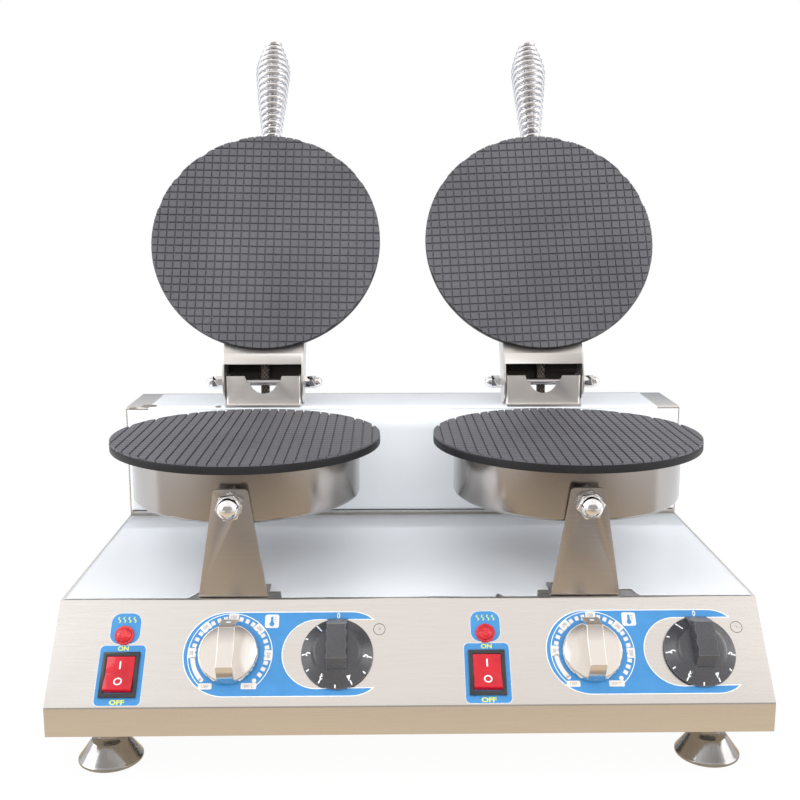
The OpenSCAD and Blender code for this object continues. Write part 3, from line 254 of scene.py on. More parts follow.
class Shader(Tree):
    """One material's node tree."""

    def __init__(self, name: str) -> None:
        """Args:
        name: the material's name.
        """
        self.material = bpy.data.materials.new(name)
        self.material.use_nodes = True
        super().__init__(self.material.node_tree, "ShaderNode")
        self.surface = self.tree.nodes["Principled BSDF"]
        self.output = self.tree.nodes["Material Output"].inputs["Surface"]

    def set(self, **values: object) -> None:
        """Args:
        values: what feeds the surface's sockets, named with underscores for spaces.
        """
        for key, value in values.items():
            self.give(self.surface.inputs[key.replace("_", " ")], value)

    def place(self, scale: Sequence[float] = (1, 1, 1), turn: Sequence[float] = (0, 0, 0)) -> Value:
        """Args:
            scale: scale along each axis.
            turn: rotation in radians.

        Returns:
            Object coordinates, turned and then scaled.
        """
        turned = self.add("Mapping", {"Vector": self.add("TexCoord").outputs["Object"], "Rotation": turn})
        return self.value("Mapping", {"Vector": turned, "Scale": scale})

    def noise(self, vector: Value, scale: float, detail: float = 3.0, roughness: float = 0.5) -> Value:
        """Args:
            vector: the texture coordinates.
            scale: features per metre.
            detail: octaves.
            roughness: weight of the finer octaves.

        Returns:
            Noise from 0 to 1.
        """
        inputs = {"Vector": vector, "Scale": scale, "Detail": detail, "Roughness": roughness}
        return self.value("TexNoise", inputs, "Fac")

    def remap(self, value: Value, low: float, high: float, start: float = 0.3, end: float = 0.7) -> Value:
        """Args:
            value: what is mapped.
            low: result at start.
            high: result at end.
            start: lower input.
            end: upper input.

        Returns:
            The mapped value, clamped.
        """
        inputs = {"Value": value, "From Min": start, "From Max": end, "To Min": low, "To Max": high}
        return self.value("MapRange", inputs)

    def bump(self, height: Value, depth: float, strength: float = 1.0) -> None:
        """Args:
        height: height from 0 to 1.
        depth: depth of the relief in metres.
        strength: share of the relief that is shown.
        """
        made = self.add("Bump", {"Distance": depth, "Strength": strength, "Height": height})
        self.set(Normal=made)


class Rule(Tree):
    """A geometry node tree with named inputs, which is baked to a plain mesh."""

    def __init__(self, name: str) -> None:
        """Args:
        name: the tree's name.
        """
        super().__init__(bpy.data.node_groups.new(name, "GeometryNodeTree"), "GeometryNode")
        self.tree.interface.new_socket("Geometry", in_out="OUTPUT", socket_type="NodeSocketGeometry")
        self.values: dict[str, object] = {}
        self.given = self.tree.nodes.new("NodeGroupInput")
        self.result = self.tree.nodes.new("NodeGroupOutput")

    def inputs(self, values: dict[str, float | int]) -> list[Value]:
        """Args:
            values: each input's name and the value that it is baked with.

        Returns:
            The inputs inside the tree.
        """
        for name, value in values.items():
            kind = "NodeSocketInt" if isinstance(value, int) else "NodeSocketFloat"
            item = self.tree.interface.new_socket(name, in_out="INPUT", socket_type=kind)
            self.values[item.identifier] = value
        return [Value(self, self.given.outputs[name]) for name in values]

    def bake(self, geometry: bpy.types.Node, finish: "Finish", smooth: bool = True) -> bpy.types.Mesh:
        """Args:
            geometry: the node that gives the shape.
            finish: the finish that is set on it.
            smooth: whether its faces are shaded smooth.

        Returns:
            A plain mesh.
        """
        real = self.add("RealizeInstances", {"Geometry": geometry})
        shade = self.add("SetShadeSmooth", {"Geometry": real, "Shade Smooth": smooth})
        paint = self.add("SetMaterial", {"Geometry": shade, "Material": finish.material()})
        self.give(self.result.inputs[0], paint)
        holder = link(self.tree.name, bpy.data.meshes.new(self.tree.name))
        modifier = holder.modifiers.new("rule", "NODES")
        modifier.node_group = self.tree
        for identifier, value in self.values.items():
            modifier[identifier] = value
        mesh = evaluated(holder)
        bpy.data.objects.remove(holder)
        return mesh


# Finishes -----------------------------------------------------------------------------------


MATERIALS: dict[str, bpy.types.Material] = {}


@dataclass(frozen=True)
class Finish:
    """Base of all finishes. A finish makes its material once."""

    name: str
    tint: Rgb = (0.8, 0.8, 0.8)
    dark: Rgb | None = None
    roughness: float = 0.4

    def material(self) -> bpy.types.Material:
        """Returns: the finish's material, made on first use."""
        if self.name not in MATERIALS:
            MATERIALS[self.name] = self.make().material
        return MATERIALS[self.name]

    def make(self) -> Shader:
        """Returns: a new material's shader."""
        raise NotImplementedError

    def start(self, scale: float, detail: float, **constants: object) -> tuple[Shader, Value]:
        """Begins a material whose colour varies in soft patches.

        Args:
            scale: patches per metre.
            detail: octaves of the patches.
            constants: values for the surface's sockets.

        Returns:
            The shader and the patches.
        """
        s = Shader(self.name)
        patches = s.noise(s.place(), scale, detail)
        shade = self.dark or tuple(0.9 * c for c in self.tint)
        s.set(Base_Color=s.blend(s.remap(patches, 0.0, 1.0), shade, self.tint), **constants)
        return s, patches


@dataclass(frozen=True)
class BrushedSteel(Finish):
    """Brushed stainless sheet with faint smudges and a directional grain."""

    tint: Rgb = (0.78, 0.765, 0.745)
    dark: Rgb = (0.66, 0.645, 0.625)
    roughness: float = 0.26
    grain: Grain = Grain.ACROSS
    lean: float = 0.0
    relief: float = 0.02 * MM

    def make(self) -> Shader:
        """Returns: the brushed metal."""
        s = Shader(self.name)
        lines = s.noise(s.place(self.grain.value, (math.radians(self.lean), 0, 0)), 90.0, 6.0, 0.65)
        patches = s.noise(s.place(), 9.0, 2.0)
        smudges = s.remap(patches, self.roughness * 0.85, self.roughness * 1.2)
        colour = s.blend(s.remap(lines, 0.0, 1.0, 0.25, 0.75), self.dark, self.tint)
        s.set(Metallic=1.0, Base_Color=colour, Roughness=s.remap(lines, 0.85, 1.2) * smudges)
        s.bump(lines, self.relief, 0.5)
        return s


@dataclass(frozen=True)
class CoatedPlate(Finish):
    """Dark non-stick coat on cast aluminium, with fine specks."""

    tint: Rgb = (0.099, 0.097, 0.108)
    dark: Rgb = (0.077, 0.0755, 0.085)
    specular: float = 0.5

    def make(self) -> Shader:
        """Returns: the coated cast metal."""
        s, patches = self.start(14.0, 3.0, Metallic=0.0, IOR=1.5, Specular_IOR_Level=self.specular)
        specks = s.noise(s.place(), 1400.0, 3.0, 0.6)
        s.set(Roughness=s.remap(specks, 0.9, 1.15) * s.remap(patches, 0.4, 0.52))
        s.bump(specks, 0.05 * MM, 0.5)
        return s


@dataclass(frozen=True)
class PlatedMetal(Finish):
    """Polished or zinc-plated metal with slight colour variation."""

    def make(self) -> Shader:
        """Returns: the plated metal."""
        s, _ = self.start(60.0, 2.0, Metallic=1.0)
        fine = s.noise(s.place(), 700.0, 4.0, 0.6)
        s.set(Roughness=s.remap(fine, self.roughness * 0.7, self.roughness * 1.5))
        s.bump(fine, 0.01 * MM, 0.6)
        return s


@dataclass(frozen=True)
class Plastic(Finish):
    """Moulded plastic, rubber or fibre with a fine grain."""

    tint: Rgb = (0.03, 0.03, 0.032)
    dark: Rgb = (0.02, 0.02, 0.022)
    grit: float = 0.02 * MM

    def make(self) -> Shader:
        """Returns: the moulded plastic."""
        s, _ = self.start(40.0, 2.0, Metallic=0.0, Coat_Roughness=0.1)
        fine = s.noise(s.place(), 1800.0, 3.0, 0.6)
        s.set(Roughness=s.remap(fine, self.roughness * 0.85, self.roughness * 1.15))
        s.bump(fine, self.grit, 0.4)
        return s


@dataclass(frozen=True)
class ClearRed(Finish):
    """Translucent red plastic, as on lit switches and faceted pilot lamps."""

    tint: Rgb = (0.6, 0.01, 0.026)
    dark: Rgb = (0.48, 0.006, 0.018)
    roughness: float = 0.16
    facets: float = 0.0

    def make(self) -> Shader:
        """Returns: the red plastic."""
        constants = {"Transmission_Weight": 0.1, "Coat_Weight": 0.3, "Coat_Roughness": 0.05, "IOR": 1.4}
        s, _ = self.start(120.0, 2.0, Metallic=0.0, Roughness=self.roughness, **constants)
        if self.facets:
            inputs = {"Vector": s.place(turn=(0.6, 0.3, 0.8)), "Scale": 620.0, "Randomness": 0.15}
            cells = s.value("TexVoronoi", inputs, "Distance", feature="F1", distance="CHEBYCHEV")
            s.bump(cells, self.facets, 0.9)
        else:
            s.bump(s.noise(s.place(), 500.0, 2.0), 0.02 * MM, 0.5)
        return s


@dataclass(frozen=True)
class ProtectiveFilm(Finish):
    """Thin bluish-white protective film on steel, with faint creases."""

    tint: Rgb = (0.88, 0.905, 0.935)
    dark: Rgb = (0.82, 0.85, 0.885)

    def make(self) -> Shader:
        """Returns: the film."""
        s, _ = self.start(5.0, 3.0, Metallic=0.12, Coat_Weight=0.25, Coat_Roughness=0.2)
        creases = s.noise(s.place((3, 1, 1), (0.2, 0.3, 0.5)), 22.0, 4.0, 0.6)
        s.set(Roughness=s.remap(creases, 0.28, 0.42))
        s.bump(creases, 0.25 * MM, 0.35)
        return s


@dataclass(frozen=True)
class Print(Finish):
    """Printed vinyl: one ink colour with a slight unevenness."""

    roughness: float = 0.35

    def make(self) -> Shader:
        """Returns: the ink."""
        s, patches = self.start(90.0, 3.0, Metallic=0.0)
        s.set(Roughness=s.remap(patches, self.roughness * 0.9, self.roughness * 1.1))
        s.bump(s.noise(s.place(), 900.0, 2.0), 0.01 * MM, 0.4)
        return s


@dataclass(frozen=True)
class Braid(Finish):
    """Braided metal sleeve: crossing strands as relief and colour."""

    tint: Rgb = (0.26, 0.225, 0.2)
    dark: Rgb = (0.06, 0.052, 0.046)

    def make(self) -> Shader:
        """Returns: the braid."""
        s = Shader(self.name)
        strands = []
        for turn in (0.8, -0.8):
            inputs = {"Vector": s.place(turn=(turn, turn, 0)), "Scale": 160.0}
            strands.append(s.value("TexWave", inputs, "Fac", bands_direction="Z"))
        weave = strands[0] * strands[1]
        colour = s.blend(s.remap(weave, 0.0, 1.0, 0.0, 0.6), self.dark, self.tint)
        s.set(Metallic=0.8, Base_Color=colour, Roughness=s.remap(weave, 0.5, 0.3, 0.0, 1.0))
        s.bump(weave, 0.3 * MM, 0.8)
        return s


class Look:
    """All finishes of the machine."""

    SHEET = BrushedSteel("steel_across")
    # A darker copy of the brushed steel for the front brackets: its darker tint is painted shade.
    BRACKET = BrushedSteel("steel_bracket_painted_shade", (0.55, 0.515, 0.48), (0.46, 0.43, 0.405), 0.3)
    # A lighter copy of the brushed steel for the hinge and lid brackets: its lighter tint is painted light.
    HINGE = BrushedSteel("steel_hinge_painted_light", (0.93, 0.91, 0.89), (0.82, 0.8, 0.78), 0.42)
    # A darker copy of the brushed steel for the lower drums: its darker tint is painted shade.
    DRUM = BrushedSteel(
        "steel_drum_painted_shade", (0.41, 0.39, 0.378), (0.35, 0.333, 0.323), 0.17, Grain.ROUND, relief=0.004 * MM
    )
    LID_DRUM = BrushedSteel("steel_lid_drum", roughness=0.28, grain=Grain.ROUND, lean=115)
    # Dark steel for the lid bracket's inner back web: painted shade inside the bracket.
    PAINTED_SHADE = BrushedSteel("steel_painted_shade", (0.16, 0.15, 0.145), (0.09, 0.085, 0.08), 0.4)
    SILVER = BrushedSteel("satin_silver", (0.84, 0.81, 0.78), (0.76, 0.735, 0.70), 0.13, Grain.UPRIGHT, 41.6)
    PLATE = CoatedPlate("coated_plate")
    # Darker copy of the plate's coat for its sides and back: painted shade.
    RIM = CoatedPlate("coated_rim_painted_shade", (0.02, 0.0195, 0.0215), (0.012, 0.0115, 0.013), specular=0.18)
    # Chrome tinted much darker for the feet: painted shade.
    FOOT = PlatedMetal("foot_chrome_painted_shade", (0.38, 0.38, 0.38), (0.3, 0.3, 0.3), 0.14)
    COIL = PlatedMetal("coil_chrome", (0.83, 0.83, 0.85), (0.72, 0.72, 0.74), 0.13)
    CHROME = PlatedMetal("chrome", (0.9, 0.9, 0.91), (0.82, 0.82, 0.83), 0.07)
    ZINC = PlatedMetal("zinc", (0.74, 0.75, 0.77), (0.6, 0.61, 0.63), 0.24)
    HEATER = PlatedMetal("heater_sheath", (0.2, 0.19, 0.18), (0.12, 0.11, 0.1), 0.45)
    BLACK = Plastic("black_plastic", roughness=0.32)
    DIAL = Plastic("dial_black", (0.062, 0.062, 0.068), (0.05, 0.05, 0.054), 0.27)
    # Lighter plastic on the timer knob's softened edges: painted highlight.
    DIAL_HIGHLIGHT = Plastic("dial_edge_highlight", (0.15, 0.15, 0.16), (0.11, 0.11, 0.12), 0.3)
    RUBBER = Plastic("black_rubber", roughness=0.6)
    IVORY = Plastic("ivory_plastic", (0.72, 0.68, 0.58), (0.65, 0.6, 0.5), 0.45)
    FIBRE = Plastic("insulation_fibre", (0.72, 0.68, 0.6), (0.6, 0.56, 0.48), 0.9, 0.4 * MM)
    RED = ClearRed("red_rocker")
    LENS = ClearRed("lamp_red", (0.75, 0.03, 0.04), (0.5, 0.01, 0.02), facets=0.9 * MM)
    FILM = ProtectiveFilm("protective_film")
    FILM_EDGE = Plastic("film_edge", (0.3, 0.26, 0.22), (0.16, 0.13, 0.11), 0.6)
    BLUE = Print("ink_blue", (0.045, 0.235, 0.52))
    WHITE = Print("ink_white", (0.86, 0.87, 0.88))
    YELLOW = Print("ink_yellow_green", (0.62, 0.68, 0.12))
    # Dark ink for the clock sign, also used for the strip of painted shadow under the front film.
    DARK_INK_AND_SHADOW = Print("ink_dark_and_shadow", (0.02, 0.02, 0.02))
    CREAM = Print("ink_cream", (0.74, 0.68, 0.63))
    GREY_INK = Print("ink_grey", (0.22, 0.25, 0.3))
    BRAID = Braid("metal_braid")


# Mesh building ------------------------------------------------------------------------------


def link(name: str, data: bpy.types.ID) -> bpy.types.Object:
    """Args:
        name: the object's name.
        data: its mesh, curve, light or camera.

    Returns:
        A new object in the scene.
    """
    made = bpy.data.objects.new(name, data)
    bpy.context.scene.collection.objects.link(made)
    return made


def evaluated(source: bpy.types.Object) -> bpy.types.Mesh:
    """Args:
        source: an object with text or modifiers.

    Returns:
        What it evaluates to, as a plain mesh.
    """
    bpy.context.view_layer.update()
    return bpy.data.meshes.new_from_object(source.evaluated_get(bpy.context.evaluated_depsgraph_get()))


def face_up(faces: Sequence[bmesh.types.BMFace]) -> None:
    """Turns flat faces so that their normals point up.

    Args:
        faces: the faces.
    """
    for face in faces:
        face.normal_update()
        if face.normal.z < 0:
            face.normal_flip()


class Piece:
    """Turns meshes into named objects that ride on a CAD body."""

    @staticmethod
    def add(
        name: str,
        mesh: bpy.types.Mesh,
        finishes: Sequence[Finish],
        body: str | None,
        slot: str,
    ) -> bpy.types.Object:
        """Args:
            name: the object's name.
            mesh: its mesh, in the frame's space.
            finishes: its finishes, in the order of its material indices.
            body: the CAD body that it rides on, or None for a piece that rides on no body.
            slot: the record's material slot; not used.

        Returns:
            The new object.
        """
        made = link(name, mesh)
        # A rule's mesh brings its material along. Clearing also resets the faces' material indices.
        if len(mesh.materials):
            mesh.materials.clear()
        for finish in finishes:
            mesh.materials.append(finish.material())
        if body:
            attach(made, body)
        return made

    @staticmethod
    def mesh(name: str, bm: bmesh.types.BMesh, sharp: float = SHARP) -> bpy.types.Mesh:
        """Args:
            name: the mesh's name.
            bm: the source, which is freed.
            sharp: edges that turn more than this many degrees stay sharp.

        Returns:
            The mesh with smooth faces and sharp edges.
        """
        for face in bm.faces:
            face.smooth = True
        for edge in bm.edges:
            edge.smooth = not (len(edge.link_faces) == 2 and edge.calc_face_angle(0.0) > math.radians(sharp))
        mesh = bpy.data.meshes.new(name)
        bm.to_mesh(mesh)
        bm.free()
        return mesh

    @classmethod
    def build(
        cls,
        name: str,
        bm: bmesh.types.BMesh,
        finishes: Sequence[Finish],
        body: str | None,
        slot: str,
        place: Matrix = Matrix(),
        sharp: float = SHARP,
    ) -> bpy.types.Object:
        """Args:
            name: the object's name.
            bm: its shape, which is freed.
            finishes: its finishes.
            body: the CAD body that it rides on, or None for a piece that rides on no body.
            slot: the record's material slot.
            place: matrix from the shape's space to the frame's.
            sharp: edges that turn more than this many degrees stay sharp.

        Returns:
            The new object.
        """
        mesh = cls.mesh(name, bm, sharp)
        mesh.transform(place)
        return cls.add(name, mesh, finishes, body, slot)

    @staticmethod
    def soften(made: bpy.types.Object, width: float, segments: int, sharp: float) -> bpy.types.Modifier:
        """Args:
            made: a piece.
            width: width of its softened edges.
            segments: faces across each.
            sharp: the angle from which an edge is softened, in degrees.

        Returns:
            The modifier.
        """
        soft = made.modifiers.new("soft_edges", "BEVEL")
        soft.width, soft.segments = width, segments
        soft.limit_method, soft.angle_limit = "ANGLE", math.radians(sharp)
        soft.harden_normals = True
        return soft

    @classmethod
    def copy(cls, node: str, finish: Finish, slot: str, bevel: float = 0.0) -> bpy.types.Object:
        """Args:
            node: the CAD node that the copy replaces.
            finish: its finish.
            slot: the record's material slot.
            bevel: width of softened edges, or 0 for none.

        Returns:
            The copy, welded, with flat faces joined and edges softened.
        """
        sharp, flat, weld = 30.0, 0.4, 0.004 * MM
        bm = bmesh.new()
        bm.from_mesh(frame["nodes"][node].data)
        bmesh.ops.remove_doubles(bm, verts=bm.verts, dist=weld)
        bmesh.ops.recalc_face_normals(bm, faces=bm.faces)
        bmesh.ops.dissolve_limit(bm, angle_limit=math.radians(flat), verts=bm.verts, edges=bm.edges)
        body = frame["nodes"][node]["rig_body"]
        made = cls.build(node + "_look", bm, (finish,), body, slot, sharp=ROUND if bevel else sharp)
        if bevel:
            cls.soften(made, bevel, 2, sharp)
        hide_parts(node)
        return made

    @staticmethod
    def dress(node: str, finish: Finish, slot: str) -> None:
        """Gives a CAD node that stays as it is its finish.

        Args:
            node: the CAD node.
            finish: its finish.
            slot: the record's material slot; not used.
        """
        made = frame["nodes"][node]
        made.data.materials.clear()
        made.data.materials.append(finish.material())


def bridge(bm: bmesh.types.BMesh, rings: Sequence[Sequence[bmesh.types.BMVert]], caps: bool = False) -> None:
    """Joins closed rings of points with faces. Rings may hold one point again and again, as a pole.

    Args:
        bm: the mesh to add to.
        rings: the rings, all of one length.
        caps: whether the first and the last ring are closed.
    """
    steps = len(rings[0])
    for low, high in zip(rings, rings[1:]):
        for k in range(steps):
            corners = (low[k], low[(k + 1) % steps], high[(k + 1) % steps], high[k])
            unique = list(dict.fromkeys(corners))
            if len(unique) > 2:
                bm.faces.new(unique)
    if caps:
        bm.faces.new(rings[0])
        bm.faces.new(rings[-1])


def lathe(bm: bmesh.types.BMesh, outline: Sequence[Point], steps: int) -> None:
    """Turns an outline about Z and adds it.

    Args:
        bm: the mesh to add to.
        outline: radius and height of each point, from one pole to the other.
        steps: faces round the turn.
    """
    rings = []
    for radius, height in outline:
        if radius < 1e-7:
            rings.append([bm.verts.new((0, 0, height))] * steps)
        else:
            turns = [TURN * k / steps for k in range(steps)]
            rings.append([bm.verts.new((radius * math.cos(a), radius * math.sin(a), height)) for a in turns])
    bridge(bm, rings)


def flat_patch(bm: bmesh.types.BMesh, loop: Sequence[Point], level: float, material: int = 0) -> None:
    """Adds a flat area.

    Args:
        bm: the mesh to add to.
        loop: its outline.
        level: its height.
        material: its material index.
    """
    verts = [bm.verts.new((x, y, level)) for x, y in loop]
    for triangle in tessellate_polygon([[Vector((x, y, 0)) for x, y in loop]]):
        face = bm.faces.new([verts[i] for i in triangle])
        face.material_index = material
        face_up([face])


def polar(centre: Point, radius: float, degrees: float) -> Point:
    """Args:
        centre: a centre.
        radius: distance from it.
        degrees: direction.

    Returns:
        The point there.
    """
    a = math.radians(degrees)
    return (centre[0] + radius * math.cos(a), centre[1] + radius * math.sin(a))


def arc(centre: Point, radius: float, start: float, end: float, steps: int) -> list[Point]:
    """Args:
        centre: the arc's centre.
        radius: its radius.
        start: first angle in degrees.
        end: last angle in degrees.
        steps: number of segments.

    Returns:
        Points along the arc.
    """
    return [polar(centre, radius, start + (end - start) * i / steps) for i in range(steps + 1)]


def disc(centre: Point, radius: float, steps: int) -> list[Point]:
    """Args:
        centre: the disc's centre.
        radius: its radius.
        steps: its number of corners.

    Returns:
        Its outline.
    """
    return arc(centre, radius, 0, 360 - 360 / steps, steps - 1)


def tile(at: Point, half_w: float, half_h: float, radius: float, steps: int = 6) -> list[Point]:
    """Args:
        at: its middle.
        half_w: half its width.
        half_h: half its height.
        radius: corner radius.
        steps: segments per corner.

    Returns:
        Outline of a rectangle with round corners, counter-clockwise.
    """
    w, h = half_w - radius, half_h - radius
    corners = ((w, -h, -90), (w, h, 0), (-w, h, 90), (-w, -h, 180))
    return [p for x, y, a in corners for p in arc((at[0] + x, at[1] + y), radius, a, a + 90, steps)]


def words(text: str, height: float, weight: float) -> list[list[Vector]]:
    """Args:
        text: the characters.
        height: height of the capitals.
        weight: outline offset as a share of the height.

    Returns:
        The text's triangles, centred on the origin.
    """
    capital = 0.7
    curve = bpy.data.curves.new("print", "FONT")
    curve.body, curve.align_x = text, "CENTER"
    curve.size, curve.offset, curve.resolution_u = 1.0, weight, 3
    holder = link("print", curve)
    mesh = evaluated(holder)
    mesh.calc_loop_triangles()
    corners = [mesh.vertices[i].co.copy() for t in mesh.loop_triangles for i in t.vertices]
    bpy.data.objects.remove(holder)
    bpy.data.curves.remove(curve)
    bpy.data.meshes.remove(mesh)
    low, high = (Vector((end(c.x for c in corners), end(c.y for c in corners), 0)) for end in (min, max))
    placed = [(c - (low + high) / 2) * (height / capital) for c in corners]
    return [placed[k : k + 3] for k in range(0, len(placed), 3)]


# Places -------------------------------------------------------------------------------------


def joint(name: str) -> tuple[Vector, Vector]:
    """Args:
        name: a joint's name.

    Returns:
        Its place and its axis.
    """
    found = next(j for j in frame["joints"] if j["name"] == name)
    return Vector(found["pos_m"]), Vector(found["axis"]).normalized()


@dataclass(frozen=True)
class Sided:
    """Something that each head has."""

    side: Side

    @property
    def name(self) -> str:
        """Returns: the head's name."""
        return self.side.value

    @property
    def hinge(self) -> Vector:
        """Returns: the middle of the head's hinge axis."""
        return joint(f"lid_hinge_{self.name}")[0]

    def panel(self, turn: str | None = None) -> Matrix:
        """Args:
            turn: a control's joint, or None for the printing on the panel.

        Returns:
            Matrix from (across, up the slope, out of the panel) to the frame's space. The origin is the
            joint's place, or lies on the panel's lower edge.
        """
        at, out = joint(f"thermostat_turn_{self.name}")
        up = Vector((0.0, out.z, -out.y))
        at = joint(f"{turn}_{self.name}")[0] if turn else at - up * PanelSizes.KNOB_UP
        return Matrix.Translation(at) @ Matrix(((1.0, 0.0, 0.0), up, out)).transposed().to_4x4()

    def lid(self) -> Matrix:
        """Returns: matrix from the closed lid (hinge at the origin, handle to -Y) to the open lid."""
        return Matrix.Translation(self.hinge) @ Matrix.Rotation(-math.radians(LidSizes.OPEN), 4, "X")


class PanelSizes:
    """Places on the panel, from a head's centre and the panel's lower edge."""

    KNOB_UP = 36.0 * MM
    TIMER_X = 75.0 * MM
    SWITCH_X = -73.3 * MM


class LidSizes:
    """Places on a closed lid, from its hinge axis, and its open angle."""

    OPEN = 115.0
    HINGE_BACK = 131.5 * MM
    FACE = -19.2 * MM
    WEB_HALF = 34.9 * MM
    WEB_NEAR = 13.8 * MM
    WEB_FAR = 6.0 * MM
    WEB_LEVEL = 14.0 * MM
    WEB_THICK = 1.5 * MM
    WEB_REACH = 33.0 * MM
    DRUM_FAR = 220.0 * MM
    DRUM_NEAR = 43.0 * MM
    GRIP_LEVEL = 6.3 * MM
    GRID_TURN = {Side.LEFT: -1.0, Side.RIGHT: 2.5}


# Sub-assemblies -----------------------------------------------------------------------------


class Casing:
    """The folded base, the rear box, their covers and their film."""

    SHEETS = ("base_shell", "rear_box", "bottom_plate", "rear_panel")

    def build(self) -> None:
        """Gives the sheet metal its finish and lays the film."""
        for node in self.SHEETS:
            Piece.copy(node, Look.SHEET, "steel_sheet")
        FilmSheets().build()


@dataclass(frozen=True)
class FilmSizes:
    """Sizes of the protective film."""

    thickness: float = 0.12 * MM
    clear: float = 0.05 * MM
    panel_depth: float = 51.0 * MM
    end_gap: float = 2.0 * MM
    step: float = 2.0 * MM
    front_back: float = 1.4 * MM
    notch_back: float = 13.0 * MM
    left_notch: Point = mm((-32.0, 34.0))
    right_notch: Point = mm((-34.0, 38.0))
    slant: float = 1.2 * MM
    long_slant: float = 7.0 * MM
    rough: float = 0.5 * MM
    notch_rough: float = 0.9 * MM
    notch_fine: float = 140.0
    tear_at: float = -62.0 * MM
    tear_half: float = 2.2 * MM
    tear_deep: float = 9.0 * MM
    rear_strip: float = 4.0 * MM
    rear_edge: float = 1.5 * MM
    # Height of the front film's lower edge, and the strip of painted shadow just under it.
    front_film_up: float = 4.4 * MM
    shadow_high: float = 1.0 * MM
    shadow_out: float = 0.1 * MM
    fold: float = 2.2 * MM
    top_end_gap: float = 20.0 * MM
    lift: float = 0.25 * MM
    curl: float = 0.02
    wave: float = 0.04 * MM
    low_wave: float = 0.15 * MM
    loose: float = 0.35 * MM
    scrap_up: float = 0.2 * MM
    scrap_rim: float = 0.25 * MM
    scrap_curl: float = 0.9 * MM


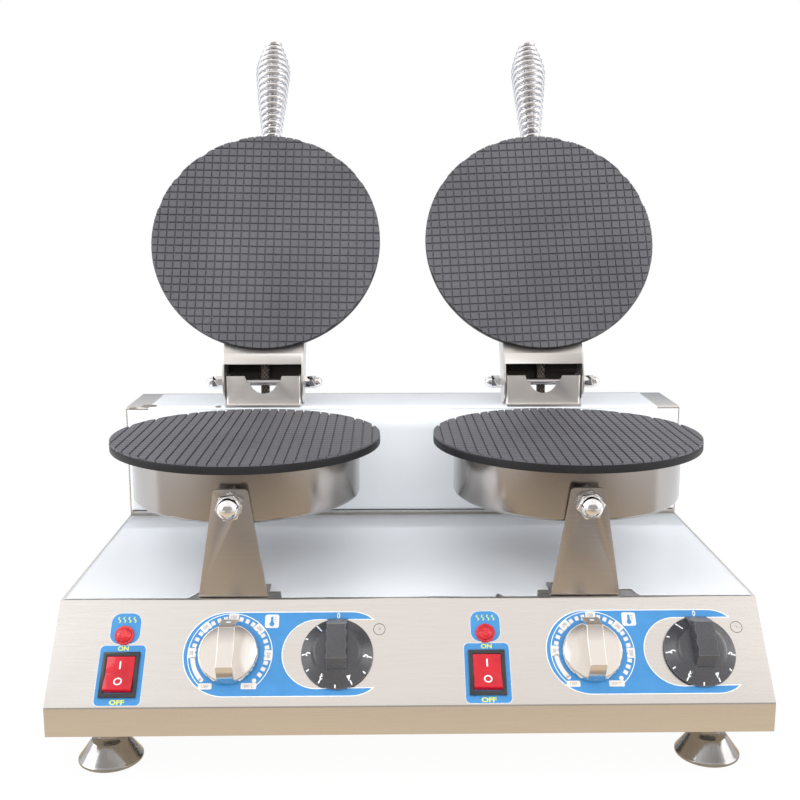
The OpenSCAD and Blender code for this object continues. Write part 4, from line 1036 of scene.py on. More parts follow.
class FilmSheets:
    """Protective film with ragged, slightly lifted edges."""

    def __init__(self) -> None:
        """Reads the casing's faces from the frame."""
        self.sizes = FilmSizes()
        low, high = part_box("base_shell")
        self.half, self.top = high.x, high.z
        self.edge = low.y + self.sizes.panel_depth + self.sizes.front_back
        low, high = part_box("rear_box")
        self.box_front, self.box_back, self.box_top = low.y, high.y, high.z

    @staticmethod
    def ragged(place: float, seed: float, fine: float = 90.0) -> float:
        """Args:
            place: distance along an edge.
            seed: which edge.
            fine: features per metre.

        Returns:
            An uneven value from about -1 to 1.
        """
        slow = noise.noise(Vector((place * fine * 0.3, seed, 0.0)))
        quick = noise.noise(Vector((place * fine * 3.0, seed + 7.0, 0.0)))
        return slow + 0.45 * quick

    def front_edge(self, x: float) -> float:
        """Args:
            x: place across the machine.

        Returns:
            The Y of the deck film's torn front edge there.
        """
        s = self.sizes
        edge = self.edge + s.rough * self.ragged(x, 1.0)
        for side, notch in ((Side.LEFT, s.left_notch), (Side.RIGHT, s.right_notch)):
            at = x - Sided(side).hinge.x
            if notch[0] < at < notch[1]:
                slant = s.long_slant if side is Side.LEFT and at < 0 else s.slant
                share = min(1.0, min(at - notch[0], notch[1] - at) / slant)
                deep = s.notch_back + s.notch_rough * self.ragged(x, 3.0, s.notch_fine)
                edge = max(edge, self.edge + share * deep)
            tear = abs(at - s.tear_at)
            if side is Side.RIGHT and tear < s.tear_half:
                edge += s.tear_deep * (1 - tear / s.tear_half)
        return edge

    def deck_path(self, x: float) -> list[Vector]:
        """Args:
            x: place across the machine.

        Returns:
            The deck film's points there, from the torn edge to the rear box.
        """
        s = self.sizes
        edge = self.front_edge(x)
        rear = self.box_front - s.rear_strip
        lift = s.lift * (1.0 + self.ragged(x, 5.0)) + s.clear
        points = []
        for t in (0.0, 0.004, 0.01, 0.02, 0.05, 0.2, 0.4, 0.6, 0.8, 1.0):
            curl = lift * max(0.0, 1 - t / s.curl) ** 2
            wave = s.wave * self.ragged(x + 9 * t, 6.0 + 5 * t)
            points.append(Vector((x, edge + (rear - edge) * t, self.top + s.clear + curl + wave)))
        return points

    def front_path(self, x: float) -> list[Vector]:
        """Args:
            x: place across the machine.

        Returns:
            The points of the film on the rear box's front, from below.
        """
        s = self.sizes
        low = self.top + s.front_film_up + s.low_wave * self.ragged(x, 11.0)
        high = self.box_top - s.fold
        points = []
        for t in (0.0, 0.02, 0.06, 0.2, 0.5, 0.8, 1.0):
            loose = s.loose * max(0.0, 1 - 4 * t) * abs(self.ragged(x, 13.0))
            points.append(Vector((x, self.box_front - s.clear - loose, low + (high - low) * t)))
        return points

    def top_path(self, x: float) -> list[Vector]:
        """Args:
            x: place across the machine.

        Returns:
            The points of the film over the rear box's fold and top.
        """
        s = self.sizes
        start, reach = self.box_front + s.fold, s.fold + s.clear
        bend = [
            Vector((x, start - reach * math.cos(a), self.box_top - s.fold + reach * math.sin(a)))
            for a in (0.0, 0.4, 0.8, 1.2, math.pi / 2)
        ]
        depth = self.box_back - s.rear_edge - start
        for t in (0.1, 0.3, 0.6, 0.9, 1.0):
            y = start + depth * t
            bend.append(Vector((x, y, self.box_top + s.clear + s.wave * self.ragged(x + y, 17.0))))
        return bend

    def add(
        self, name: str, bm: bmesh.types.BMesh, sharp: float, finishes: Sequence[Finish]
    ) -> bpy.types.Modifier:
        """Args:
            name: the piece's name.
            bm: its surface.
            sharp: the angle from which edges stay sharp.
            finishes: its finishes.

        Returns:
            The modifier that gives it its thickness.
        """
        made = Piece.build(name, bm, finishes, "base", "steel_sheet", sharp=sharp)
        thick = made.modifiers.new("thickness", "SOLIDIFY")
        thick.thickness = self.sizes.thickness
        return thick

    def grid(self, name: str, gap: float, path: Callable[[float], Sequence[Vector]]) -> None:
        """Builds a film sheet from columns of points.

        Args:
            name: the piece's name.
            gap: distance from its ends to the casing's.
            path: gives a column's points.
        """
        half = self.half - gap
        count = int(2 * half / self.sizes.step)
        bm = bmesh.new()
        rows = [[bm.verts.new(p) for p in path(-half + 2 * half * i / count)] for i in range(count + 1)]
        for a, b in zip(rows, rows[1:]):
            for k in range(len(a) - 1):
                bm.faces.new((a[k], b[k], b[k + 1], a[k + 1]))
        thick = self.add(name, bm, 60.0, (Look.FILM, Look.FILM_EDGE))
        thick.offset = 1.0
        thick.material_offset_rim = 1

    def build(self) -> None:
        """Makes the three sheets, a dark strip of painted shadow under the front sheet and the loose scraps.
        """
        s = self.sizes
        self.grid("film_base", s.end_gap, self.deck_path)
        self.grid("film_front", s.end_gap * 0.6, self.front_path)
        self.grid("film_top", s.top_end_gap, self.top_path)
        # A dark strip on the box front, just under the front film's lower edge: painted shadow under the
        # film's edge.
        bm = bmesh.new()
        half, y = self.half - s.end_gap, self.box_front - s.shadow_out
        high = self.top + s.front_film_up
        low = high - s.shadow_high
        corners = ((-half, low), (half, low), (half, high), (-half, high))
        bm.faces.new([bm.verts.new((x, y, z)) for x, z in corners])
        Piece.build("box_film_shadow", bm, (Look.DARK_INK_AND_SHADOW,), "base", "steel_sheet")
        self.scraps()

    def scraps(self) -> None:
        """Adds small torn, curled bits of film where it was pulled off."""
        s = self.sizes
        corners = 14
        y, z = self.box_front, self.box_top
        spots = (
            (-self.half + 20 * MM, y + 4.5 * MM, z, 7.0 * MM, 3.4 * MM),
            (-self.half + 6 * MM, y + 0.8 * MM, z - 0.8 * MM, 4.0 * MM, 1.2 * MM),
            (Sided(Side.LEFT).hinge.x - 40 * MM, y + 1.4 * MM, z, 3.0 * MM, 1.4 * MM),
        )
        bm = bmesh.new()
        for index, (x, y, z, half_w, half_d) in enumerate(spots):
            rim = []
            for k in range(corners):
                a = TURN * k / corners
                reach = 1 + 0.45 * noise.noise(Vector((k * 1.7, index * 9.0, 2.0)))
                rise = s.scrap_rim + s.scrap_curl * max(0.0, math.sin(a)) * reach
                point = (x + half_w * reach * math.cos(a), y + half_d * reach * math.sin(a), z + rise)
                rim.append(bm.verts.new(point))
            bridge(bm, [rim, [bm.verts.new((x, y, z + s.scrap_up))] * corners])
        self.add("film_scraps", bm, 80.0, (Look.FILM_EDGE,))


@dataclass(frozen=True)
class WafflePlate:
    """A cast plate: turned disc, spigot ring and a rule that sets out its squares."""

    radius: float = 105.0 * MM
    thick: float = 7.5 * MM
    pitch: float = 7.6 * MM
    groove: float = 1.1 * MM
    depth: float = 1.5 * MM
    soft: float = 0.32 * MM
    spigot_r: float = 86.7 * MM
    spigot_w: float = 3.0 * MM
    spigot_h: float = 5.0 * MM
    rim: float = 1.0 * MM
    inset: float = 0.15 * MM
    sliver: float = 0.8 * MM
    steps: int = 180

    def squares(self) -> bpy.types.Mesh:
        """Returns: the squares, with their tops at z = 0."""
        rule = Rule("waffle_squares")
        values = {
            "Radius": self.radius - self.inset,
            "Pitch": self.pitch,
            "Groove": self.groove,
            "Depth": self.depth,
            "Soft edge": self.soft,
            "Rows": 2 * math.ceil(self.radius / self.pitch),
        }
        radius, pitch, groove, depth, soft, count = rule.inputs(values)
        reach = (count - 1) * pitch
        size = {"Size X": reach, "Size Y": reach, "Vertices X": count, "Vertices Y": count}
        grid = rule.add("MeshGrid", size)
        half = (pitch - groove) * 0.5
        x, y, z = rule.split(rule.add("InputPosition"))
        near = [rule.math("MAXIMUM", rule.math("ABSOLUTE", v) - half, 0.0) for v in (x, y)]
        span = rule.math("SQRT", near[0] * near[0] + near[1] * near[1])
        outside = rule.math("GREATER_THAN", span, radius - self.sliver)
        kept = rule.add("DeleteGeometry", {"Geometry": grid, "Selection": outside}, domain="POINT")
        width = half * 2.0
        block = rule.add("MeshCube", {"Size": rule.vector(width, width, depth - soft)})
        upward = rule.math("GREATER_THAN", rule.split(rule.add("InputNormal"))[2], 0.5)
        rise = {"Mesh": block, "Selection": upward, "Offset Scale": soft}
        raised = rule.add("ExtrudeMesh", rise, mode="FACES")
        taper = {"Geometry": raised, "Selection": raised.outputs["Top"], "Scale": (half - soft) / half}
        drop = rule.vector(0.0, 0.0, (depth + soft) * -0.5)
        seated = rule.add("Transform", {"Geometry": rule.add("ScaleElements", taper), "Translation": drop})
        spread = rule.add("InstanceOnPoints", {"Points": kept, "Instance": seated})
        real = rule.add("RealizeInstances", {"Geometry": spread})
        away = rule.math("MAXIMUM", rule.length(rule.vector(x, y, 0.0)), TINY)
        share = rule.math("MINIMUM", radius / away, 1.0)
        inside = rule.vector(x * share, y * share, z)
        cut = rule.add("SetPosition", {"Geometry": real, "Position": inside})
        return rule.bake(cut, Look.PLATE, smooth=False)

    def mesh(self, name: str, squares: bpy.types.Mesh) -> bpy.types.Mesh:
        """Args:
            name: the mesh's name.
            squares: the squares' mesh.

        Returns:
            The whole plate, grid face up at z = 0.
        """
        floor, back, r, soft = -self.depth, -self.thick, self.radius, self.rim
        turns = (0.0, 0.4, 0.8, 1.2, math.pi / 2)
        outline = [(0.0, floor)]
        outline += [(r - soft * (1 - math.sin(a)), floor - soft * (1 - math.cos(a))) for a in turns]
        blunt, side, up = mm((0.6, 0.2, 0.17))
        outline += [(r, back + blunt), (r - side, back + up), (r - blunt, back)]
        inner, low = self.spigot_r - self.spigot_w, back - self.spigot_h
        outline += [(self.spigot_r, back), (self.spigot_r, low), (inner, low), (inner, back), (0.0, back)]
        bm = bmesh.new()
        lathe(bm, outline, self.steps)
        bmesh.ops.recalc_face_normals(bm, faces=bm.faces)
        for face in bm.faces:
            face.smooth = True
        for edge in bm.edges:
            edge.smooth = edge.calc_face_angle(0.0) < math.radians(SHARP)
        bm.from_mesh(squares)
        for face in bm.faces:
            # Smooth faces that do not face up, the plate's sides and back, take the darker coat: painted
            # shade.
            face.material_index = int(face.smooth and face.normal.z < 0.9)
        mesh = bpy.data.meshes.new(name)
        bm.to_mesh(mesh)
        bm.free()
        return mesh


@dataclass(frozen=True)
class CoilGrip:
    """Barrel-shaped grip wound from one bright wire, along its stem from the drum's side."""

    length: float = 132.4 * MM
    wire: float = 4.0 * MM
    pitch: float = 6.3 * MM
    start: float = 8.5 * MM
    neck_at: float = 26.0 * MM
    belly_at: float = 98.0 * MM
    neck_r: float = 9.2 * MM
    belly_r: float = 16.8 * MM
    end_r: float = 7.5 * MM
    belly_power: float = 1.12
    end_power: float = 1.5
    steps: int = 40
    sides: int = 14
    knots: int = 24

    def outer(self, at: float) -> float:
        """Args:
            at: distance from the drum's side.

        Returns:
            The grip's outer radius there.
        """
        if at < self.neck_at:
            return self.neck_r
        if at < self.belly_at:
            share = (at - self.neck_at) / (self.belly_at - self.neck_at)
            return self.neck_r + (self.belly_r - self.neck_r) * (1 - (1 - share) ** self.belly_power)
        share = (at - self.belly_at) / (self.length - self.wire / 2 - self.belly_at)
        return self.end_r + (self.belly_r - self.end_r) * (1 - min(share, 1.0) ** self.end_power)

    def mesh(self) -> bpy.types.Mesh:
        """Returns: the coil, along +Z from the drum's side."""
        rule = Rule("coil_grip")
        values = {
            "Turns": (self.length - self.wire - self.start) / self.pitch,
            "Pitch": self.pitch,
            "Wire radius": self.wire / 2,
            "Start": self.start + self.wire / 2,
            "Steps in a turn": self.steps,
        }
        turns, pitch, wire, start, steps = rule.inputs(values)
        count = rule.add("FunctionNodeFloatToInt", {0: turns * steps})
        line = rule.add("CurvePrimitiveLine", {"End": (0.0, 0.0, 1.0)})
        fine = rule.add("ResampleCurve", {"Curve": line, "Count": count})
        turn = rule.value("InputIndex") / steps
        angle = turn * TURN
        at = turn * pitch + start
        shape = rule.add("ShaderNodeFloatCurve", {"Value": at / self.length})
        curve = shape.mapping.curves[0]
        for k in range(1, self.knots):
            curve.points.new(k / self.knots, 0.5)
        for k, point in enumerate(curve.points):
            share = k / self.knots
            point.location = (share, self.outer(share * self.length) / self.belly_r)
        shape.mapping.update()
        radius = Value(rule, shape.outputs[0]) * self.belly_r - wire
        place = rule.vector(radius * rule.math("COSINE", angle), radius * rule.math("SINE", angle), at)
        wound = rule.add("SetPosition", {"Geometry": fine, "Position": place})
        section = rule.add("CurvePrimitiveCircle", {"Resolution": self.sides, "Radius": wire})
        tube = rule.add("CurveToMesh", {"Curve": wound, "Profile Curve": section, "Fill Caps": True})
        return rule.bake(tube, Look.COIL)


@dataclass(frozen=True)
class Head(Sided):
    """One head: its lower drum and plate, its lid with its plate, and its hinge."""

    squares: bpy.types.Mesh
    coil: bpy.types.Mesh

    def lower(self) -> None:
        """Dresses the fixed half."""
        Piece.copy(f"lower_drum_{self.name}", Look.DRUM, "steel_sheet")
        Piece.copy(f"front_bracket_{self.name}", Look.BRACKET, "steel_sheet", bevel=0.3 * MM)
        low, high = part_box(f"lower_plate_{self.name}")
        self.plate("lower", Matrix.Translation(((low.x + high.x) / 2, (low.y + high.y) / 2, high.z)), "base")

    def upper(self) -> None:
        """Dresses the lid."""
        s = LidSizes
        body = f"lid_{self.name}"
        Piece.copy(f"upper_drum_{self.name}", Look.LID_DRUM, "steel_sheet")
        self.web(Piece.copy(f"lid_bracket_{self.name}", Look.HINGE, "steel_sheet", bevel=0.25 * MM))
        Piece.copy(f"handle_stem_{self.name}", Look.ZINC, "zinc_fastener")
        face = Matrix.Translation((0, -s.HINGE_BACK, s.FACE)) @ Matrix.Rotation(math.pi, 4, "X")
        turn = Matrix.Rotation(math.radians(s.GRID_TURN[self.side]), 4, "Z")
        self.plate("upper", self.lid() @ face @ turn, body)
        mesh = self.coil.copy()
        seat = Matrix.Translation((0, -s.DRUM_FAR, s.GRIP_LEVEL)) @ Matrix.Rotation(math.pi / 2, 4, "X")
        mesh.transform(self.lid() @ seat)
        made = Piece.add(f"coil_grip_{self.name}", mesh, (Look.COIL,), body, "bright_metal")
        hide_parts(f"handle_coil_{self.name}")

    def web(self, bracket: bpy.types.Object) -> None:
        """Carries the bracket's back web on towards the hinge rod, and paints the shade inside the bracket on
        the web's inner faces with a dark steel.

        Args:
            bracket: the lid bracket.
        """
        s = LidSizes
        size = Vector((2 * s.WEB_HALF, s.WEB_NEAR - s.WEB_FAR, s.WEB_THICK, 1.0))
        middle = Vector((0.0, -(s.WEB_NEAR + s.WEB_FAR) / 2, s.WEB_LEVEL - s.WEB_THICK / 2))
        bm = bmesh.new()
        made = bmesh.ops.create_cube(bm, size=1.0)
        place = self.lid() @ Matrix.Translation(middle) @ Matrix.Diagonal(size)
        bmesh.ops.transform(bm, matrix=place, verts=made["verts"])
        bmesh.ops.recalc_face_normals(bm, faces=bm.faces)
        bm.from_mesh(bracket.data)
        # Inner faces of the back web, the added web included, take the second finish, a dark steel that is
        # painted shade.
        closed = self.lid().inverted()
        for face in bm.faces:
            at = closed @ face.calc_center_median()
            inner = abs(at.x) < s.WEB_HALF and at.y > -s.WEB_REACH
            face.material_index = int(inner and abs(at.z - s.WEB_LEVEL) < 1.1 * s.WEB_THICK)
        bm.to_mesh(bracket.data)
        bm.free()
        bracket.data.materials.append(Look.PAINTED_SHADE.material())

    def plate(self, half: str, place: Matrix, body: str) -> None:
        """Args:
        half: which plate.
        place: matrix of the plate's grid face.
        body: the body that it rides on.
        """
        node = f"{half}_plate_{self.name}"
        mesh = WafflePlate().mesh(node + "_mesh", self.squares)
        mesh.transform(place)
        made = Piece.add(node + "_look", mesh, (Look.PLATE, Look.RIM), body, "coated_cast_plate")
        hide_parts(node)

    def build(self) -> None:
        """Dresses the head."""
        self.lower()
        self.upper()
        Piece.copy(f"hinge_bracket_{self.name}", Look.HINGE, "steel_sheet", bevel=0.25 * MM)
        Conduit(self.side).build()


@dataclass(frozen=True)
class Conduit(Sided):
    """Flexible heater conduit from the rear box into its lid, built with the lid open."""

    radius: float = 4.1 * MM
    back: float = 8.2 * MM
    heights: tuple[float, ...] = mm((-32.0, -20.0, -6.0))
    top: Point = mm((9.2, 8.0))
    level: float = 2.0 * MM
    ends: Point = mm((10.3, 0.3))
    blend: Point = mm((-10.0, 6.0))
    rib: float = 0.25 * MM
    sides: int = 20
    ribs: int = 30

    def at_lid(self, inside: float) -> Vector:
        """Args:
            inside: distance from the drum's wall.

        Returns:
            The place of the centreline's end on the lid.
        """
        return self.lid() @ Vector((0.0, -(LidSizes.DRUM_NEAR - inside), self.level))

    def knots(self) -> list[Vector]:
        """Returns: points of the centreline, from inside the rear box to inside the lid's drum."""
        lower = [(self.back, z) for z in self.heights] + [self.top]
        upper = [self.at_lid(inside) for inside in self.ends]
        return [self.hinge + Vector((0.0, *p)) for p in lower] + upper

    def centre(self, t: float) -> Vector:
        """Args:
            t: share of the way from 0 to 1.

        Returns:
            The centreline there, on a smooth curve through its knots.
        """
        knots = self.knots()
        spans = len(knots) - 1
        i = min(int(t * spans), spans - 1)
        u = t * spans - i
        p, q, r, s = (knots[max(0, min(spans, k))] for k in (i - 1, i, i + 1, i + 2))
        slope, bend, twist = r - p, 2 * p - 5 * q + 4 * r - s, 3 * q - p - 3 * r + s
        return 0.5 * (2 * q + slope * u + bend * u * u + twist * u**3)

    def build(self) -> None:
        """Makes the ribbed hose, which runs from the base to the lid."""
        across = Vector((1.0, 0.0, 0.0))
        count = self.ribs * 4
        bm = bmesh.new()
        rings = []
        for k in range(count + 1):
            t = k / count
            along = (self.centre(min(1.0, t + 0.01)) - self.centre(max(0.0, t - 0.01))).normalized()
            other = along.cross(across).normalized()
            radius = self.radius - self.rib * (1 - math.cos(TURN * self.ribs * t)) / 2
            turns = [TURN * j / self.sides for j in range(self.sides)]
            spokes = [math.cos(a) * across + math.sin(a) * other for a in turns]
            rings.append([bm.verts.new(self.centre(t) + radius * spoke) for spoke in spokes])
        bridge(bm, rings, caps=True)
        bmesh.ops.recalc_face_normals(bm, faces=bm.faces)
        name = f"conduit_{self.name}_look"
        made = Piece.build(name, bm, (Look.BRAID,), None, "braided_conduit", sharp=60.0)
        start = self.hinge + Vector((0.0, self.back, self.blend[0]))
        end = self.at_lid(self.blend[1])
        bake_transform(made)
        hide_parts(f"conduit_{self.name}")


# Printing -----------------------------------------------------------------------------------


class Layer(Enum):
    """Heights of the printed layers over the panel."""

    BASE = 0.08 * MM
    LOW = 0.12 * MM
    FIRST = 0.16 * MM
    SECOND = 0.20 * MM


@dataclass(frozen=True)
class TickRing:
    """A rule that sets out straight radial marks round a centre, in equal groups."""

    count: int
    first: float
    step: float
    inner: float
    outer: float
    width: float
    group: int = 1
    group_step: float = 0.0

    def mesh(self, finish: Finish) -> bpy.types.Mesh:
        """Args:
            finish: the ink.

        Returns:
            The marks, flat, round the origin.
        """
        rule = Rule("tick_ring")
        values = {
            "Marks": self.count,
            "First angle": math.radians(self.first),
            "Angle between marks": math.radians(self.step),
            "Marks in a group": self.group,
            "Angle between groups": math.radians(self.group_step or self.step * self.group),
            "Inner radius": self.inner,
            "Outer radius": self.outer,
            "Width": self.width,
        }
        count, first, step, group, group_step, inner, outer, width = rule.inputs(values)
        index = rule.value("InputIndex")
        batch = rule.math("FLOOR", index / group)
        angle = first - (batch * group_step + (index - batch * group) * step)
        radius = (inner + outer) * 0.5
        place = rule.vector(rule.math("COSINE", angle) * radius, rule.math("SINE", angle) * radius, 0.0)
        line = rule.add("MeshLine", {"Count": count})
        points = rule.add("SetPosition", {"Geometry": line, "Position": place})
        size = {"Size X": outer - inner, "Size Y": width, "Vertices X": 2, "Vertices Y": 2}
        dash = rule.add("MeshGrid", size)
        turn = rule.vector(0.0, 0.0, angle)
        spread = rule.add("InstanceOnPoints", {"Points": points, "Instance": dash, "Rotation": turn})
        return rule.bake(spread, finish, smooth=False)


class PrintSheet:
    """A set of flat printed areas on one panel, in several inks."""

    INKS = (Look.BLUE, Look.WHITE, Look.YELLOW, Look.DARK_INK_AND_SHADOW, Look.CREAM, Look.GREY_INK)

    def __init__(self, name: str, place: Matrix) -> None:
        """Args:
        name: the piece's name.
        place: matrix from the panel to the frame's space.
        """
        self.name = name
        self.place = place
        self.bm = bmesh.new()

    def area(self, loop: Sequence[Point], ink: Finish, layer: Layer) -> None:
        """Args:
        loop: the area's outline.
        ink: the ink.
        layer: the layer that it is on.
        """
        flat_patch(self.bm, loop, layer.value, self.INKS.index(ink))

    def ticks(self, ring: TickRing, centre: Point, ink: Finish, layer: Layer) -> None:
        """Args:
        ring: the marks.
        centre: their centre.
        ink: the ink.
        layer: the layer that they are on.
        """
        mesh = ring.mesh(ink)
        mesh.transform(Matrix.Translation((*centre, layer.value)))
        before = set(self.bm.faces)
        self.bm.from_mesh(mesh)
        for face in set(self.bm.faces) - before:
            face.material_index = self.INKS.index(ink)

    def text(
        self,
        text: str,
        at: Point,
        height: float,
        ink: Finish,
        turn: float = 0.0,
        wide: float = 1.0,
        weight: float = 0.01,
    ) -> None:
        """Args:
        text: the characters.
        at: their middle.
        height: height of the capitals.
        ink: the ink.
        turn: rotation in degrees.
        wide: width factor.
        weight: outline offset as a share of the height.
        """
        turned = Matrix.Rotation(math.radians(turn), 4, "Z") @ Matrix.Diagonal((wide, 1.0, 1.0, 1.0))
        place = Matrix.Translation((*at, Layer.SECOND.value)) @ turned
        for triangle in words(text, height, weight):
            face = self.bm.faces.new([self.bm.verts.new(place @ c) for c in triangle])
            face.material_index = self.INKS.index(ink)

    def ring(
        self, centre: Point, inner: float, outer: float, start: float, end: float, ink: Finish, layer: Layer
    ) -> None:
        """Args:
        centre: the ring's centre.
        inner: inner radius.
        outer: outer radius.
        start: first angle in degrees.
        end: last angle in degrees.
        ink: the ink.
        layer: the layer that it is on.
        """
        steps = max(4, int(abs(end - start) / 4))
        near, far = (arc(centre, radius, start, end, steps) for radius in (inner, outer))
        for k in range(steps):
            self.area((near[k], far[k], far[k + 1], near[k + 1]), ink, layer)

    def finish(self) -> None:
        """Makes the printed piece."""
        face_up(self.bm.faces)
        Piece.build(self.name, self.bm, self.INKS, "base", "pale_plastic", self.place)


@dataclass(frozen=True)
class ScaleLabel(Sided):
    """Blue label with the thermostat's scale and the window round the timer.

    Its sizes run from the head's centre and the panel's lower edge.
    """

    top: float = 67.2 * MM
    bottom: float = 6.9 * MM
    left: float = -31.8 * MM
    straight: float = 84.8 * MM
    tip: float = 100.6 * MM
    nose: float = 0.9 * MM
    slot_top: float = 61.0 * MM
    slot_bottom: float = 12.6 * MM
    slot_left: float = 37.0 * MM
    border: float = 0.55 * MM
    centre: Point = mm((0.8, 36.8))
    thermometer_at: Point = mm((28.7, 60.3))
    clock_at: Point = mm((104.2, 54.0))
    zero_side: float = 0.5 * MM
    zero_up: float = 64.2 * MM
    zero: float = 3.9 * MM
    dash_in: float = 24.2 * MM
    dash_out: float = 27.3 * MM
    dash_wide: float = 2.7 * MM
    dash_step: float = 10.2
    dashes: int = 3
    line_r: float = 28.9 * MM
    line_wide: float = 0.5 * MM
    box_in: float = 23.6 * MM
    box: Point = mm((3.6, 2.6))
    box_corner: float = 0.5 * MM
    dot: float = 0.6 * MM
    dot_out: float = 0.2 * MM
    dot_turn: float = -1.5
    digit: float = 2.4 * MM
    digit_out: float = 0.5 * MM
    word: float = 2.3 * MM
    word_down: float = 22.4 * MM
    word_box: Point = mm((2.1, 0.8))
    first: float = 178.0
    number_step: float = 45.0
    arc_end: float = 224.0
    numbers: tuple[str, ...] = ("50", "100", "150", "200", "250")

    def outline(self, inset: float = 0.0) -> list[Point]:
        """Args:
            inset: distance that the outline lies inside the label's edge.

        Returns:
            The label's outline, counter-clockwise.
        """
        top, bottom = self.top - inset, self.bottom + inset
        slot_top, slot_bottom = self.slot_top + inset, self.slot_bottom - inset
        slot_at = (self.slot_left + (self.slot_top - self.slot_bottom) / 2, (slot_top + slot_bottom) / 2)
        round_at = (self.left + (self.top - self.bottom) / 2, (top + bottom) / 2)
        tip, nose = self.tip - 3.0 * inset, self.nose - 0.5 * inset
        upper = [(tip - 0.3 * MM, slot_top), (tip, slot_top + 0.45 * nose), (tip - 0.5 * MM, slot_top + nose)]
        for t in (0.2, 0.4, 0.6, 0.8, 1.0):
            rise = (top - slot_top - nose) * (1 - (1 - t) ** 2)
            upper.append((tip + (self.straight - tip) * t, slot_top + nose + rise))
        lower = [(x, bottom + top - y) for x, y in reversed(upper)]
        window = arc(slot_at, (slot_top - slot_bottom) / 2, 270, 90, 24)
        return window + upper + arc(round_at, (top - bottom) / 2, 90, 270, 40) + lower

    def build(self) -> None:
        """Prints the label."""
        sheet = PrintSheet(f"scale_label_{self.name}", self.panel())
        sheet.area(self.outline(), Look.WHITE, Layer.BASE)
        sheet.area(self.outline(self.border), Look.BLUE, Layer.LOW)
        self.scale(sheet)
        self.thermometer(sheet, self.thermometer_at)
        sheet.text("0", (PanelSizes.TIMER_X + self.zero_side, self.zero_up), self.zero, Look.WHITE, wide=0.8)
        self.clock(sheet, self.clock_at)
        sheet.finish()

    def scale(self, sheet: PrintSheet) -> None:
        """Adds the temperature scale: five numbers, three dashes after each, and an arc down to OFF.

        Args:
            sheet: the printed sheet.
        """
        last = self.first - self.number_step * len(self.numbers)
        line = (self.line_r, self.line_r + self.line_wide, last - 3, self.arc_end + 3)
        sheet.ring(self.centre, *line, Look.WHITE, Layer.FIRST)
        dash = (self.dash_in, self.dash_out)
        sheet.ring(self.centre, *dash, self.first + 6, self.arc_end, Look.CREAM, Layer.FIRST)
        for end in (self.arc_end, last + 0.5):
            middle = polar(self.centre, sum(dash) / 2, end)
            sheet.area(disc(middle, (self.dash_out - self.dash_in) / 2, 24), Look.CREAM, Layer.FIRST)
        marks = self.dashes * len(self.numbers)
        start = self.first - self.number_step / 2 + self.dash_step * (self.dashes - 1) / 2
        ticks = TickRing(marks, start, self.dash_step, *dash, self.dash_wide, self.dashes, self.number_step)
        sheet.ticks(ticks, self.centre, Look.CREAM, Layer.FIRST)
        radius = (self.box_in + self.line_r) / 2
        for index, number in enumerate(self.numbers):
            a = self.first - self.number_step * index
            at, turned = Vector(polar(self.centre, radius, a)), Matrix.Rotation(math.radians(a - 90), 2)
            box = [tuple(turned @ Vector(p) + at) for p in tile((0.0, 0.0), *self.box, self.box_corner, 3)]
            sheet.area(box, Look.CREAM, Layer.FIRST)
            dot = polar(self.centre, self.box_in + self.dot_out, a + self.dot_turn)
            sheet.area(disc(dot, self.dot, 12), Look.BLUE, Layer.SECOND)
            at = polar(self.centre, radius + self.digit_out, a)
            sheet.text(number, at, self.digit, Look.GREY_INK, a - 90, 0.8)
        for text, side, half_w in (("OFF", -15.6 * MM, 4.7 * MM), ("300°C", 14.2 * MM, 5.3 * MM)):
            at = (self.centre[0] + side, self.centre[1] - self.word_down)
            sheet.area(tile(at, half_w, *self.word_box, 4), Look.CREAM, Layer.SECOND)
            sheet.text(text, at, self.word, Look.GREY_INK, 0, 0.85)

    @staticmethod
    def thermometer(sheet: PrintSheet, at: Point) -> None:
        """Adds the thermometer sign.

        Args:
            sheet: the printed sheet.
            at: its middle.
        """
        x, y = at
        half, corner, stem_up, bulb_down, bulb_r, side = mm((4.9, 1.6, 0.95, 2.0, 1.75, 2.25))
        sheet.area(tile(at, half, half, corner), Look.CREAM, Layer.FIRST)
        stem = tile((x, y + stem_up), *mm((0.9, 2.45, 0.85)), 5)
        bulb = arc((x, y - bulb_down), bulb_r, 0, 345, 22)
        marks = [tile((x + side, y + up), *mm((0.75, 0.22, 0.1)), 2) for up in mm((2.6, 1.3, 0.0))]
        for loop in (stem, bulb, *marks):
            sheet.area(loop, Look.BLUE, Layer.SECOND)

    @staticmethod
    def clock(sheet: PrintSheet, at: Point) -> None:
        """Adds the clock sign.

        Args:
            sheet: the printed sheet.
            at: its middle.
        """
        x, y = at
        inner, outer, up, side = mm((3.9, 4.25, 0.8, 0.6))
        sheet.ring(at, inner, outer, 0, 360, Look.DARK_INK_AND_SHADOW, Layer.BASE)
        long = tile((x, y + up), *mm((0.12, 0.8, 0.04)), 2)
        short = tile((x + side, y), *mm((0.7, 0.12, 0.04)), 2)
        for hand in (long, short):
            sheet.area(hand, Look.DARK_INK_AND_SHADOW, Layer.BASE)


